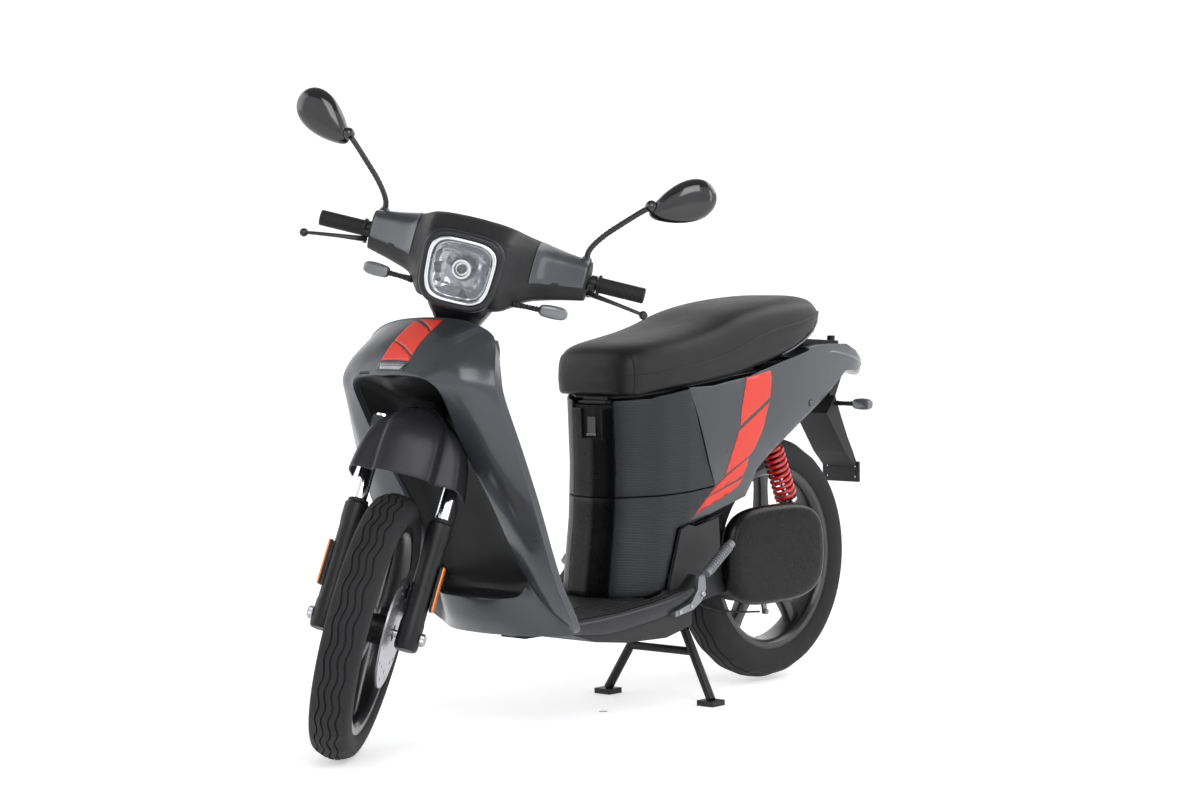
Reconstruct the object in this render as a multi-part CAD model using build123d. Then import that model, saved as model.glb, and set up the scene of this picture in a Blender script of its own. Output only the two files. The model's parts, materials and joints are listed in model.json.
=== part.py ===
from build123d import *
import math
import os

# Electric moped scooter with 16 inch wheels, built from separate pieces.
# Millimetres. +Z is up, -Y is forward, +X is the rider's left.
# While modelling, x = 0 is the middle plane, y = 0 is half way between the axles and z = 0 is the floor.
# The last step moves everything so that the origin is at the bottom centre of the overall box.

# ---- driving dimensions ----
HALF_WHEELBASE = 640.0
RAKE_DEG = 24.0
HEAD_FOOT_Y = -732.0          # where the steering axis meets the floor line
HEAD_FOOT_Z = -5.05
STEER_REST_DEG = 37.0         # parked on the left lock
FRONT_AXLE_S = 279.5          # along the steering axis from its foot
FRONT_AXLE_OFFSET = 23.7      # ahead of the steering axis

FRONT_TYRE_R = 265.0
FRONT_TYRE_HALF = 41.0
REAR_TYRE_R = 275.0
REAR_TYRE_HALF = 46.0
REAR_AXLE_Z = 281.0
BEAD_R = 203.0
RIM_R = 202.5
AXLE_R = 7.5
RUNNING_FIT = 0.06            # radial clearance of turning and sliding fits
SKIN = 4.0                    # wall of the moulded covers

FORK_HALF = 85.0
LEG_R = 24.0
STANCHION_R = 15.0
LEG_FOOT_S = 252.0
LEG_TOP_S = 512.0
STANCHION_FOOT_S = 372.0
FORK_TRAVEL = 45.0
YOKE_S = (658.0, 690.0)
HEAD_TUBE_S = (696.0, 890.0)
STEM_R = 14.0
STEM_TOP_S = 1050.0

GRIP_Y = -222.0
GRIP_Z = 966.0
GRIP_R = 16.0
GRIP_X = (246.0, 344.0)
BAR_R = 11.0
LEVER_PIVOT = (236.0, -262.0, 950.0)
LEVER_BALL = (358.0, -293.0, 936.0)
MIRROR_FOOT = (214.0, -238.0, 1008.0)
MIRROR_NECK = (318.0, -247.0, 1148.0)

SWING_PIVOT = (235.0, 262.0)   # y, z
SHOCK_X = 100.0
SHOCK_TOP = (540.0, 565.0)
SHOCK_EYE = (618.0, 390.0)
STAND_PIVOT = (285.0, 165.0)
SEAT_PIVOT = (66.0, 660.0)
PEG_PIVOT = (187.0, 188.0, 296.0)
PEG_RISE_DEG = 33.5
KEY_CENTRE = (-125.0, -372.0, 700.0)
HOOK_PIVOT_Z = 592.0
BRAKE_ARM_PIVOT = (575.0, 205.0)
RACK_BOLT_X = 61.0             # carrier bolts, for a top case plate
RACK_BOLT_Y = (722.0, 832.0)
RACK_BOSS_Z = 781.0
RACK_HOLE_R = 3.3
PLATE_HOLE_X = 40.0            # number plate screws
PLATE_HOLE_Z = (444.0, 468.0)
PLATE_HOLE_R = 3.0
PLATE_FACE_Y = 957.0

RAKE = math.radians(RAKE_DEG)
HEAD_AXIS = (0.0, math.sin(RAKE), math.cos(RAKE))
HEAD_FOOT = (0.0, HEAD_FOOT_Y, HEAD_FOOT_Z)
STEERING_AXIS = Axis(HEAD_FOOT, HEAD_AXIS)
HEAD = Plane(origin=HEAD_FOOT, x_dir=(1, 0, 0), z_dir=HEAD_AXIS)   # local x, -offset, s
BASE = (Align.CENTER, Align.CENTER, Align.MIN)


# ---- helpers ----
def prism(points, axis, low, high):
    """A polygon pushed along x, y or z. Its points are the other two coordinates in x, y, z order."""
    plane = {"x": Plane.YZ, "y": Plane.XZ, "z": Plane.XY}[axis]
    start = {"x": (low, 0, 0), "y": (0, high, 0), "z": (0, 0, low)}[axis]
    placed = Plane(origin=start, x_dir=plane.x_dir, z_dir=plane.z_dir)
    face = placed * make_face(Polyline(*points, close=True))
    return extrude(face, amount=high - low, dir=placed.z_dir)


def rod(start, end, radius):
    """A round bar from one point to another."""
    run = Vector(*end) - Vector(*start)
    return Plane(origin=start, z_dir=run) * Cylinder(radius, run.length, align=BASE)


def cross_rod(y, z, radius, x_low, x_high):
    return rod((x_low, y, z), (x_high, y, z), radius)


def box_at(x, y, z):
    """A box from three (low, high) pairs."""
    size = [pair[1] - pair[0] for pair in (x, y, z)]
    middle = [(pair[0] + pair[1]) / 2 for pair in (x, y, z)]
    return Pos(*middle) * Box(*size)


def tube_path(points, radii, radius):
    """A round cord or bar along straight runs joined by tangent arcs."""
    path = FilletPolyline(*points, radius=radii)
    start = path @ 0
    section = Plane(origin=start, z_dir=path % 0) * Circle(radius)
    return sweep(section, path=path)


def mirrored(shape):
    return mirror(shape, about=Plane.YZ)


def both_sides(shape):
    return Compound(children=[shape, mirrored(shape)])


def stacked(levels, axis):
    """A faceted solid through polygons set at given places along x or z."""
    faces = []
    for place, points in levels:
        if axis == "x":
            corners = [(place, y, z) for y, z in points]
        else:
            corners = [(x, y, place) for x, y in points]
        faces.append(make_face(Polyline(*corners, close=True)))
    return loft(faces, ruled=True)


def symmetric_outline(half_points):
    """Points from the left side, then their mirror images in reverse order."""
    return half_points + [(-x, y) for x, y in reversed(half_points) if x != 0]


def without(shape, *cutters):
    """A shape with its neighbours' space cut out of it."""
    for cutter in cutters:
        for solid in cutter.solids():
            shape = shape - solid
    return shape


# ---- wheels ----
def tyre(outer_r, half_width):
    """A hollow tyre round the X axis at the origin, open at the beads."""
    shoulder_r = outer_r - 0.32 * half_width
    shoulder = 0.86 * half_width
    mid_r = BEAD_R + 0.5 * (shoulder_r - BEAD_R)
    bead = 0.62 * half_width
    wall = 7.0
    outside = [
        ThreePointArc((-bead, BEAD_R), (-half_width, mid_r), (-shoulder, shoulder_r)),
        ThreePointArc((-shoulder, shoulder_r), (0, outer_r), (shoulder, shoulder_r)),
        ThreePointArc((shoulder, shoulder_r), (half_width, mid_r), (bead, BEAD_R)),
    ]
    inside_r = outer_r - 1.6 * wall
    inside = [
        Line((bead, BEAD_R), (bead - wall, BEAD_R)),
        ThreePointArc((bead - wall, BEAD_R), (half_width - wall, mid_r), (0, inside_r)),
        ThreePointArc((0, inside_r), (wall - half_width, mid_r), (wall - bead, BEAD_R)),
        Line((wall - bead, BEAD_R), (-bead, BEAD_R)),
    ]
    face = Plane.XZ * make_face(outside + inside)
    return revolve(face, Axis.X, 360)


def rim(half_width, hub_half, hub_r, bore_r):
    """A five-spoke wheel round the X axis at the origin."""
    lip = half_width * 0.78
    profile = [(-lip, 197), (-lip, 209), (-lip + 4, 209), (-lip + 5, RIM_R), (lip - 5, RIM_R), (lip - 4, 209),
               (lip, 209), (lip, 197), (lip - 12, 188), (12 - lip, 188)]
    wheel = revolve(Plane.XZ * make_face(Polyline(*profile, close=True)), Axis.X, 360)
    wheel += rod((-hub_half, 0, 0), (hub_half, 0, 0), hub_r)
    spoke = stacked([(20, [(-17, -24), (17, -24), (17, 24), (-17, 24)]),
                     (192, [(-11, -13), (11, -13), (11, 13), (-11, 13)])], "z")
    for turn in range(5):
        wheel += spoke.rotate(Axis.X, 72 * turn)
    return wheel - rod((-hub_half - 1, 0, 0), (hub_half + 1, 0, 0), bore_r)


def front_wheel():
    place = Pos(0, -FRONT_AXLE_OFFSET, FRONT_AXLE_S)
    disc_x = (50.0, 54.0)
    hub_half = 49.0
    disc = rod((disc_x[0], 0, 0), (disc_x[1], 0, 0), 110) - rod((disc_x[0], 0, 0), (disc_x[1], 0, 0), AXLE_R + 9)
    for turn in range(10):
        for radius in (78, 96):
            angle = math.radians(36 * turn + 0.9 * radius)
            spot = (radius * math.cos(angle), radius * math.sin(angle))
            disc -= cross_rod(spot[0], spot[1], 4, disc_x[0], disc_x[1])
    wheel = rim(FRONT_TYRE_HALF, hub_half, 26, AXLE_R + RUNNING_FIT)
    wheel += rod((hub_half, 0, 0), (disc_x[0], 0, 0), 40) - cross_rod(0, 0, AXLE_R + 9, hub_half, disc_x[0])
    return {
        "front_tyre": HEAD * place * tyre(FRONT_TYRE_R, FRONT_TYRE_HALF),
        "front_rim": HEAD * place * wheel,
        "brake_disc": HEAD * place * disc,
    }


def rear_wheel():
    place = Pos(0, HALF_WHEELBASE, REAR_AXLE_Z)
    wheel = rim(REAR_TYRE_HALF, 40, 55, 10 + RUNNING_FIT)
    return {
        "rear_tyre": place * tyre(REAR_TYRE_R, REAR_TYRE_HALF),
        "rear_rim": place * wheel,
    }


# ---- front fork ----
def fork_lower():
    """The sliding part of the fork, with the axle, caliper, reflectors and hose."""
    leg = rod((FORK_HALF, -FRONT_AXLE_OFFSET, LEG_FOOT_S), (FORK_HALF, -FRONT_AXLE_OFFSET, LEG_TOP_S), LEG_R)
    bore_floor = STANCHION_FOOT_S - FORK_TRAVEL - 4
    leg -= rod((FORK_HALF, -FRONT_AXLE_OFFSET, bore_floor), (FORK_HALF, -FRONT_AXLE_OFFSET, LEG_TOP_S),
               STANCHION_R + RUNNING_FIT)
    leg -= rod((50, -FRONT_AXLE_OFFSET, FRONT_AXLE_S), (120, -FRONT_AXLE_OFFSET, FRONT_AXLE_S), AXLE_R)
    axle = rod((-109, -FRONT_AXLE_OFFSET, FRONT_AXLE_S), (109, -FRONT_AXLE_OFFSET, FRONT_AXLE_S), AXLE_R)
    for side in (-1, 1):
        nut = extrude(RegularPolygon(13, 6), amount=7)
        nut = Pos(side * 109, -FRONT_AXLE_OFFSET, FRONT_AXLE_S) * Rot(0, side * 90, 0) * nut
        axle += nut
    disc_gap = rod((48.5, -FRONT_AXLE_OFFSET, FRONT_AXLE_S), (55.5, -FRONT_AXLE_OFFSET, FRONT_AXLE_S), 113)
    caliper = box_at((44, 76), (12, 62), (330, 415)) - disc_gap
    caliper += box_at((58, 76), (-6, 14), (350, 395))
    caliper -= rod((FORK_HALF, -FRONT_AXLE_OFFSET, 300), (FORK_HALF, -FRONT_AXLE_OFFSET, 450), LEG_R)
    reflector = box_at((109.5, 118), (-FRONT_AXLE_OFFSET - 13, -FRONT_AXLE_OFFSET + 13), (336, 429))
    hose = tube_path(HOSE_ROUTE, HOSE_RADII, HOSE_R)
    return {
        "fork_legs": HEAD * both_sides(leg),
        "front_axle": HEAD * axle,
        "brake_caliper": HEAD * caliper,
        "fork_reflectors": HEAD * both_sides(reflector),
        "brake_hose": HEAD * hose,
    }


HOSE_R = 3.0
HOSE_ROUTE = [(66, 55, 416), (66, 58, 450), (92, 52, 500), (104, 28, 545), (92, 14, 585), (62, 10, 605)]
HOSE_RADII = [26, 60, 48, 34]


def steering_base():
    """Stem, lower yoke, chrome stanchions and the fender that the yoke carries."""
    stem = rod((0, 0, YOKE_S[0]), (0, 0, STEM_TOP_S), STEM_R)
    yoke = prism(symmetric_outline([(0, -22), (60, -26), (72, -43), (102, -43), (102, -10), (36, 20), (0, 20)]),
                 "z", *YOKE_S)
    stanchion = rod((FORK_HALF, -FRONT_AXLE_OFFSET, STANCHION_FOOT_S), (FORK_HALF, -FRONT_AXLE_OFFSET, YOKE_S[1] + 6),
                    STANCHION_R)
    stanchions = both_sides(stanchion)
    yoke = yoke - rod((FORK_HALF, -FRONT_AXLE_OFFSET, 600), (FORK_HALF, -FRONT_AXLE_OFFSET, 800), STANCHION_R)
    yoke = yoke - rod((-FORK_HALF, -FRONT_AXLE_OFFSET, 600), (-FORK_HALF, -FRONT_AXLE_OFFSET, 800), STANCHION_R)
    levels = [(560, 116, -150, 2), (640, 102, -144, 2), (696, 56, -104, -30), (716, 42, -86, -34)]
    outside = []
    inside = []
    for s, half, ahead, behind in levels:
        corner = 0.3 * half
        for target, wall in ((outside, 0.0), (inside, SKIN)):
            a = half - wall
            front = ahead + wall
            back = behind + 1.5 * wall          # past the outside, so the back is open
            target.append((s - wall, [(a - corner, front), (a, front + corner), (a, back), (-a, back),
                                      (-a, front + corner), (corner - a, front)]))
    inside[0] = (550, inside[0][1])
    fender = stacked(outside, "z") - stacked(inside, "z")
    fender -= box_at((-120, 120), (2, 60), (540, 720))
    fender = without(fender, yoke, stanchions)
    return {
        "steering_stem": HEAD * (stem + yoke),
        "stanchions": HEAD * stanchions,
        "front_fender": HEAD * fender,
    }


# ---- handlebar ----
COWL_LEVELS = [
    (0, [(-436, 884), (-474, 925), (-462, 1030), (-400, 1060), (-300, 1046), (-236, 985), (-250, 922), (-340, 876)]),
    (80, [(-430, 888), (-464, 925), (-452, 1024), (-392, 1054), (-296, 1040), (-232, 985), (-248, 924), (-335, 880)]),
    (122, [(-346, 915), (-364, 950), (-348, 1010), (-320, 1034), (-268, 1030), (-214, 985), (-226, 932), (-290, 905)]),
    (228, [(-268, 932), (-281, 958), (-274, 1000), (-256, 1012), (-226, 1008), (-200, 980), (-206, 945), (-240, 930)]),
]
COWL_SPLIT_Y = -262.0


def cowl_solid(wall):
    """The outer form of the handlebar cowl, or the space inside it when a wall is given."""
    levels = []
    for x, points in COWL_LEVELS:
        middle_y = sum(point[0] for point in points) / len(points)
        middle_z = sum(point[1] for point in points) / len(points)
        moved = []
        for y, z in points:
            reach = math.hypot(y - middle_y, z - middle_z)
            keep = (reach - wall * 1.15) / reach
            moved.append((middle_y + keep * (y - middle_y), middle_z + keep * (z - middle_z)))
        levels.append((x if x < 200 else x - wall, moved))
    left = stacked(levels, "x")
    return left + mirrored(left)


def cowl():
    shell = cowl_solid(0) - cowl_solid(SKIN)
    shell -= rod((-240, GRIP_Y, GRIP_Z), (240, GRIP_Y, GRIP_Z), BAR_R + 7)
    shell -= HEAD * rod((0, 0, 800), (0, 0, 1000), STEM_R + 24)
    lamp_hole = box_at((-64, 64), (-520, -420), (896, 1017))
    for side in (-1, 1):
        shell -= rod((side * 175, GRIP_Y - 4, 948), (side * 175, GRIP_Y + 50, 948), 6.4)
    front_zone = box_at((-300, 300), (-600, COWL_SPLIT_Y), (800, 1100))
    rear_zone = box_at((-300, 300), (COWL_SPLIT_Y + 0.4, -100), (800, 1100))
    cover_zone = prism([(118, 968), (118, 1100), (300, 1100), (300, 966)], "y", -400, COWL_SPLIT_Y)
    grown = prism([(117.5, 967.5), (117.5, 1100), (300, 1100), (300, 965.5)], "y", -400, COWL_SPLIT_Y)
    front = (shell - lamp_hole) & front_zone
    covers = front & (cover_zone + mirrored(cover_zone))
    front = front - (grown + mirrored(grown))
    rear = shell & rear_zone
    bezel = box_at((-68, 68), (-487, -472), (893, 1020)) - box_at((-60, 60), (-490, -460), (901, 1012))
    bezel -= cowl_solid(0) - lamp_hole
    reflector = box_at((-63, 63), (-466, -408), (897, 1016)) - box_at((-58, 58), (-470, -414), (903, 1010))
    lens = box_at((-59.5, 59.5), (-484, -480), (901.5, 1011.5))
    return {
        "headlight_cowl": front,
        "cowl_side_covers": covers,
        "dash_cover": rear,
        "headlight_bezel": bezel,
        "headlight_reflector": reflector - HEAD * rod((0, 0, 800), (0, 0, 1100), STEM_R + 1),
        "headlight_lens": lens,
    }


def handlebar():
    """The bent bar with its stem clamp and the two brake perches."""
    outer = GRIP_X[1] - 8
    points = [(-outer, GRIP_Y, GRIP_Z), (-205, GRIP_Y, GRIP_Z), (-120, -292, GRIP_Z), (120, -292, GRIP_Z),
              (205, GRIP_Y, GRIP_Z), (outer, GRIP_Y, GRIP_Z)]
    bar = tube_path(points, [50, 50, 50, 50], BAR_R)
    clamp = box_at((-24, 24), (-322, -274), (940, 982))
    stem = HEAD * rod((0, 0, 700), (0, 0, STEM_TOP_S), STEM_R)
    bar = bar + (clamp - stem)
    for side in (-1, 1):
        pivot_x = side * LEVER_PIVOT[0]
        ring = rod((side * 231, GRIP_Y, GRIP_Z), (side * 243, GRIP_Y, GRIP_Z), 17)
        perch = ring + box_at(sorted_pair(side * 231, side * 243), (-268, GRIP_Y), (955, 967))
        perch += rod((pivot_x, LEVER_PIVOT[1], 941), (pivot_x, LEVER_PIVOT[1], 967), 3.5)
        bar += perch
    return bar


def sorted_pair(a, b):
    return (min(a, b), max(a, b))


def brake_lever(side):
    """A slim lever with a ball end. Side is 1 for left and -1 for right."""
    px, py, pz = LEVER_PIVOT
    bx, by, bz = LEVER_BALL
    knuckle = rod((px, py, 943), (px, py, 954), 8)
    blade = rod((px + 4, py - 2, 948.5), (285, -284, 945), 4.5) + rod((285, -284, 945), (bx, by, bz), 4.5)
    blade += Pos(285, -284, 945) * Sphere(4.5)
    lever = knuckle + blade + Pos(bx, by, bz) * Sphere(9)
    lever -= rod((px, py, 930), (px, py, 970), 3.5 + RUNNING_FIT)
    return lever if side > 0 else mirrored(lever)


def grip(side, bore):
    low, high = GRIP_X
    body = cross_rod(GRIP_Y, GRIP_Z, GRIP_R, low, high) + cross_rod(GRIP_Y, GRIP_Z, GRIP_R + 4, low, low + 5)
    body -= cross_rod(GRIP_Y, GRIP_Z, bore, low - 1, high - 7.5)
    return body if side > 0 else mirrored(body)


def mirror_arm():
    fx, fy, fz = MIRROR_FOOT
    points = [(fx, fy, fz - 12), (fx + 2, fy - 2, fz + 26), (fx + 52, fy - 8, fz + 94), MIRROR_NECK]
    arm = tube_path(points, [40, 90], 5.5)
    return arm + rod((fx, fy, fz - 4), (fx, fy, fz + 10), 10) + Pos(*MIRROR_NECK) * Sphere(8)


def mirror_head():
    """A domed shell with a flat back for the glass and a socket for the arm's ball."""
    faces = []
    for depth, size in ((-22, 0.45), (-16, 0.78), (-6, 0.97), (4, 1.0)):
        outline = []
        for turn in range(16):
            angle = 2 * math.pi * turn / 16
            drop = 1 - 0.12 * math.cos(angle)
            outline.append((68 * size * math.cos(angle), depth, 50 * size * drop * math.sin(angle)))
        faces.append(make_face(Polyline(*outline, close=True)))
    shell = Pos(381, -233, 1180) * Rot(0, -10, 10) * loft(faces, ruled=True)
    neck = Pos(*MIRROR_NECK) * Sphere(13)
    arm_way = rod(MIRROR_NECK, (MIRROR_NECK[0] - 22, MIRROR_NECK[1], MIRROR_NECK[2] - 26), 10)
    return shell + neck - Pos(*MIRROR_NECK) * Sphere(8.1) - arm_way


def indicators(root, tip, lens_start, half):
    """A stalk with an oval lamp on its end, on both sides."""
    stalk = rod(root, lens_start, 5)
    lamp = rod(lens_start, tip, half)
    return both_sides(stalk + lamp)


# ---- body ----
# Each level of the leg shield: height, half width, then the front surface at the edge, at the arm's inner line and
# in the middle.
SHIELD_LEVELS = [
    (206, 178, -214, -240, -296),
    (240, 200, -246, -252, -318),
    (285, 206, -280, -280, -338),
    (376, 218, -334, -336, -352),
    (486, 226, -385, -396, -412),
    (600, 222, -431, -468, -486),
    (698, 209, -463, -524, -544),
    (744, 198, -461, -549, -556),
    (790, 178, -437, -508, -512),
    (826, 155, -430, -462, -468),
]
SHIELD_INNER = 120.0
SHIELD_WINDOW = 117.0
INNER_SHIELD_HALF = 160.0


def shield_outline(level, forward, wall):
    """One level of the shield, moved back by forward, wall thick."""
    z, half, edge, inner, middle = level
    front = [(0, middle + forward), (60, (middle * 2 + inner) / 3 + forward), (SHIELD_INNER, inner + forward),
             (half, edge + forward)]
    back = [(half, edge + forward + wall), (SHIELD_INNER, inner + forward + wall),
            (60, (middle * 2 + inner) / 3 + forward + wall), (0, middle + forward + wall)]
    left = front + back
    right = [(-x, y) for x, y in reversed(left) if x != 0]
    return z, left + right


def shield():
    """Painted shield, its black recessed panel and the cover on the rider's side."""
    shell = stacked([shield_outline(level, 0, 8) for level in SHIELD_LEVELS], "z")
    window = box_at((-SHIELD_WINDOW, SHIELD_WINDOW), (-700, -100), (284, 712))
    shell = shell - window
    top = prism([(-470, 826), (-452, 838), (-434, 846), (-404, 838), (-404, 812), (-450, 812), (-462, 822)],
                "x", -150, 150)
    head_hole = HEAD * rod((0, 0, 500), (0, 0, 1100), 40)
    lid = top - shell
    painted = shell + lid - head_hole
    panel_levels = [
        (288, -262), (376, -292), (486, -338), (600, -388), (706, -424),
    ]
    panel = prism([(y, z) for z, y in panel_levels] + [(y + 5, z) for z, y in reversed(panel_levels)], "x", -150, 150)
    panel = panel - head_hole - shell
    rider = [(-236, 236), (-244, 262), (-288, 376), (-330, 486), (-381, 600), (-418, 706), (-402, 811)]
    rider_back = [(-376, 811), (-390, 706), (-350, 600), (-300, 486), (-262, 376), (-218, 262), (-214, 236)]
    inner = prism(rider + rider_back, "x", -INNER_SHIELD_HALF, INNER_SHIELD_HALF)
    hump = prism([(y + 28, z) for y, z in rider_back[1:]] + rider_back[:0:-1], "x", -30, 30)
    inner = inner + hump
    front_line = [(y + 4, z) for y, z in rider[1:-1]]
    inner = inner - prism(front_line + [(y - 4, z) for y, z in rider_back[1:-1]], "x", 8 - INNER_SHIELD_HALF,
                          INNER_SHIELD_HALF - 8)
    inner = inner - prism(front_line + [(y + 24, z) for y, z in rider_back[1:-1]], "x", -26, 26)
    boss = rod((KEY_CENTRE[0], -384, KEY_CENTRE[2]), (KEY_CENTRE[0], KEY_CENTRE[1], KEY_CENTRE[2]), 14)
    inner = (inner + boss) - rod((KEY_CENTRE[0], -400, KEY_CENTRE[2]), (KEY_CENTRE[0], -300, KEY_CENTRE[2]), 7.06)
    inner = inner - head_hole - painted - panel
    return {"leg_shield": painted, "shield_panel": panel, "inner_shield": inner}


def frame():
    """Underbone frame: head tube, down tube, floor spine, risers and rear rails."""
    head_tube = HEAD * (rod((0, 0, HEAD_TUBE_S[0]), (0, 0, HEAD_TUBE_S[1]), 27)
                        - rod((0, 0, HEAD_TUBE_S[0]), (0, 0, HEAD_TUBE_S[1]), STEM_R + RUNNING_FIT))
    stem_space = HEAD * rod((0, 0, 400), (0, 0, 1100), STEM_R + RUNNING_FIT)
    down = rod((0, -388, 672), (0, -196, 204), 18) + Pos(0, -196, 204) * Sphere(18)
    down += rod((0, -388, 672), (0, -420, 700), 18) + Pos(0, -388, 672) * Sphere(18)
    spine = box_at((-34, 34), (-200, 60), (186, 222))
    rails = prism([(60, 186), (60, 222), (215, 290), (330, 690), (355, 690), (245, 262), (300, 170), (285, 150),
                   (268, 160), (220, 230)], "x", 26, 34)
    rails = rails + mirrored(rails)
    tie = cross_rod(STAND_PIVOT[0], STAND_PIVOT[1], 9, -60, 60)
    block = box_at((-50, 50), (215, 258), (240, 290))
    pin = cross_rod(SWING_PIVOT[0], SWING_PIVOT[1], 10, -50, 131)
    seat_rail = prism([(330, 672), (330, 690), (700, 722), (860, 722), (860, 708), (700, 706)], "x", 56, 66)
    cross = box_at((-66, 66), (335, 350), (672, 690)) + box_at((-66, 66), (690, 704), (706, 721))
    shock_pin = cross_rod(SHOCK_TOP[0], SHOCK_TOP[1], 6, 66, 116)
    shock_plate = prism([(520, 692), (575, 706), (556, 552), (526, 552)], "x", 66, 74)
    whole = head_tube + (down - stem_space) + spine + rails + tie + block + pin
    whole = whole + seat_rail + mirrored(seat_rail) + cross + shock_plate + shock_pin
    return whole - stem_space


COLUMN_LEVELS = [(264, 26, 291), (322, 34, 300), (406, 46, 300), (520, 52, 300), (664, 46, 300)]


def column_outline(front, back, wall):
    """Plan of the seat column: a round front and straight sides, open at the back."""
    half = [(0, front), (60, front + 12), (104, front + 48), (132, front + 92), (146, front + 150), (146, back)]
    inner = [(146 - wall, back), (146 - wall, front + 150), (132 - wall, front + 92 + wall * 0.4),
             (104 - wall * 0.7, front + 48 + wall * 0.7), (60 - wall * 0.3, front + 12 + wall), (0, front + wall)]
    left = half + inner
    return left + [(-x, y) for x, y in reversed(left) if x != 0]


def column():
    """Textured column covers with a gloss front, cut from one wall."""
    wall = stacked([(z, column_outline(front, back, SKIN)) for z, front, back in COLUMN_LEVELS], "z")
    side_line = prism([(0, 200), (118, 200), (124, 272), (164, 390), (192, 398), (282, 474), (264, 517), (238, 594),
                       (216, 662), (0, 662)], "x", -200, 200)
    wall = wall & side_line
    strip = box_at((-58, 58), (0, 90), (270, 700))
    grown = box_at((-58.4, 58.4), (0, 90), (269.6, 700))
    gloss = wall & strip
    sides = wall - grown
    window = box_at((-14, 14), (0, 90), (HOOK_PIVOT_Z - 8, HOOK_PIVOT_Z + 44))
    gloss = gloss - window
    pin = rod((-21, 56, HOOK_PIVOT_Z), (21, 56, HOOK_PIVOT_Z), 2)
    ears = box_at((-20, -15), (50, 62), (586, 598)) + box_at((15, 20), (50, 62), (586, 598))
    gloss = gloss + ears + pin
    for x in (-42, 36):
        ear = box_at((x, x + 6), (52, 70), (640, 656)) + cross_rod(SEAT_PIVOT[0], SEAT_PIVOT[1], 5.5, x, x + 6)
        gloss = gloss + (ear - cross_rod(SEAT_PIVOT[0], SEAT_PIVOT[1], 4 + RUNNING_FIT, x - 1, x + 7))
    return {"column_front": gloss, "column_cover": sides}


def plan_wall(wall):
    """The curved plan of the side panels on the left, wall thick."""
    outer = [(147, 180), (150, 300), (146, 450), (132, 620), (106, 790), (83, 900), (64, 945)]
    inner = [(x - wall, y) for x, y in reversed(outer)]
    return outer + inner


def panels():
    side = prism(plan_wall(SKIN), "z", 380, 800)
    outline = [(210, 690), (242, 598), (268, 521), (290, 474), (198, 400), (224, 396), (298, 416), (406, 441),
               (440, 497), (524, 547), (618, 593), (732, 644), (842, 700), (938, 692), (943, 722), (847, 762),
               (700, 766), (650, 752), (569, 738), (459, 716), (423, 706), (289, 690)]
    panel = side & prism(outline, "x", 0, 200)
    tail = prism([(700, 746), (850, 748), (938, 734), (985, 722), (985, 710), (938, 716), (850, 728), (700, 726)],
                 "x", -98, 98)
    plan = prism(symmetric_outline([(98, 690), (98, 790), (76, 900), (57, 945), (26, 985)]), "z", 600, 800)
    tail = tail & plan
    lamp = prism([(986, 720), (1002, 716), (1002, 706), (986, 704)], "x", -22, 22)
    return {"side_panels": both_sides(panel), "tail_cover": tail, "tail_lamp": lamp}


def under_seat():
    """Storage bucket below the seat and the battery packs in the column."""
    bucket = box_at((-112, 112), (142, 288), (562, 656)) - box_at((-109, 109), (145, 285), (565, 700))
    pack = box_at((38, 98), (108, 194), (280, 556))
    return {"seat_bucket": bucket, "battery_packs": both_sides(pack)}


def floor():
    top = [(-212, 236), (-83, 237), (46, 248), (118, 260)]
    low = [(118, 248), (46, 236), (-83, 225), (-212, 224)]
    board = prism(top + low, "x", -190, 190)
    tongue = prism([(118, 248), (118, 260), (145, 268), (170, 298), (180, 292), (158, 258), (145, 254)], "x", 153, 190)
    board = board + tongue + mirrored(tongue)
    pan = prism([(-210, 223), (-83, 224), (46, 235), (118, 247), (160, 252), (176, 240), (172, 186), (87, 168),
                 (-42, 172), (-140, 184), (-210, 206)], "x", -172, 172)
    pan = pan - prism([(-204, 240), (172, 262), (168, 190), (87, 172), (-42, 176), (-140, 188), (-204, 209)],
                      "x", -168, 168)
    pan = pan - box_at((-40, 40), (160, 190), (190, 260))
    wing = prism([(128, 263), (128, 272), (168, 388), (194, 397), (221, 390), (296, 404), (300, 340), (226, 262),
                  (174, 230), (171, 230), (160, 263)], "x", 142, 150)
    pan = pan + wing + mirrored(wing)
    return {"footboard": board, "belly_pan": pan}


def seat():
    """Seat base plate, hinged at the front, and the cushion on it."""
    base_top = [(72, 677), (180, 690), (289, 704), (459, 730), (569, 754), (700, 788), (742, 802)]
    base = prism([(y, z) for y, z in base_top] + [(y, z - 8) for y, z in reversed(base_top)], "x", -118, 118)
    base = base & prism(symmetric_outline([(60, 72), (92, 96), (114, 160), (118, 400), (112, 620), (80, 742)]),
                        "z", 600, 900)
    hinge = box_at((-34, 34), (66, 80), (660, 672)) + cross_rod(SEAT_PIVOT[0], SEAT_PIVOT[1], 6, -34, 34)
    hinge += cross_rod(SEAT_PIVOT[0], SEAT_PIVOT[1], 4, -44, 44)
    stations = [
        (50, 46, 692, 706, 740),
        (62, 84, 681, 702, 764),
        (70, 92, 673, 702, 768),
        (90, 110, 675, 706, 779),
        (170, 132, 688, 716, 794),
        (250, 136, 699, 730, 808),
        (390, 137, 721, 762, 844),
        (500, 134, 743, 782, 864),
        (606, 130, 764, 800, 875),
        (700, 116, 788, 816, 874),
        (738, 92, 798, 822, 866),
    ]
    faces = []
    for y, half, low, crease, high in stations:
        outline = [(half - 10, low), (half, crease), (half - 8, high - 22), (half - 40, high), (40 - half, high),
                   (8 - half, high - 22), (-half, crease), (10 - half, low)]
        faces.append(make_face(Polyline(*[(x, y, z) for x, z in outline], close=True)))
    cushion = loft(faces, ruled=True)
    return {"seat_base": base + hinge - cushion, "seat_cushion": cushion - base}


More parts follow.
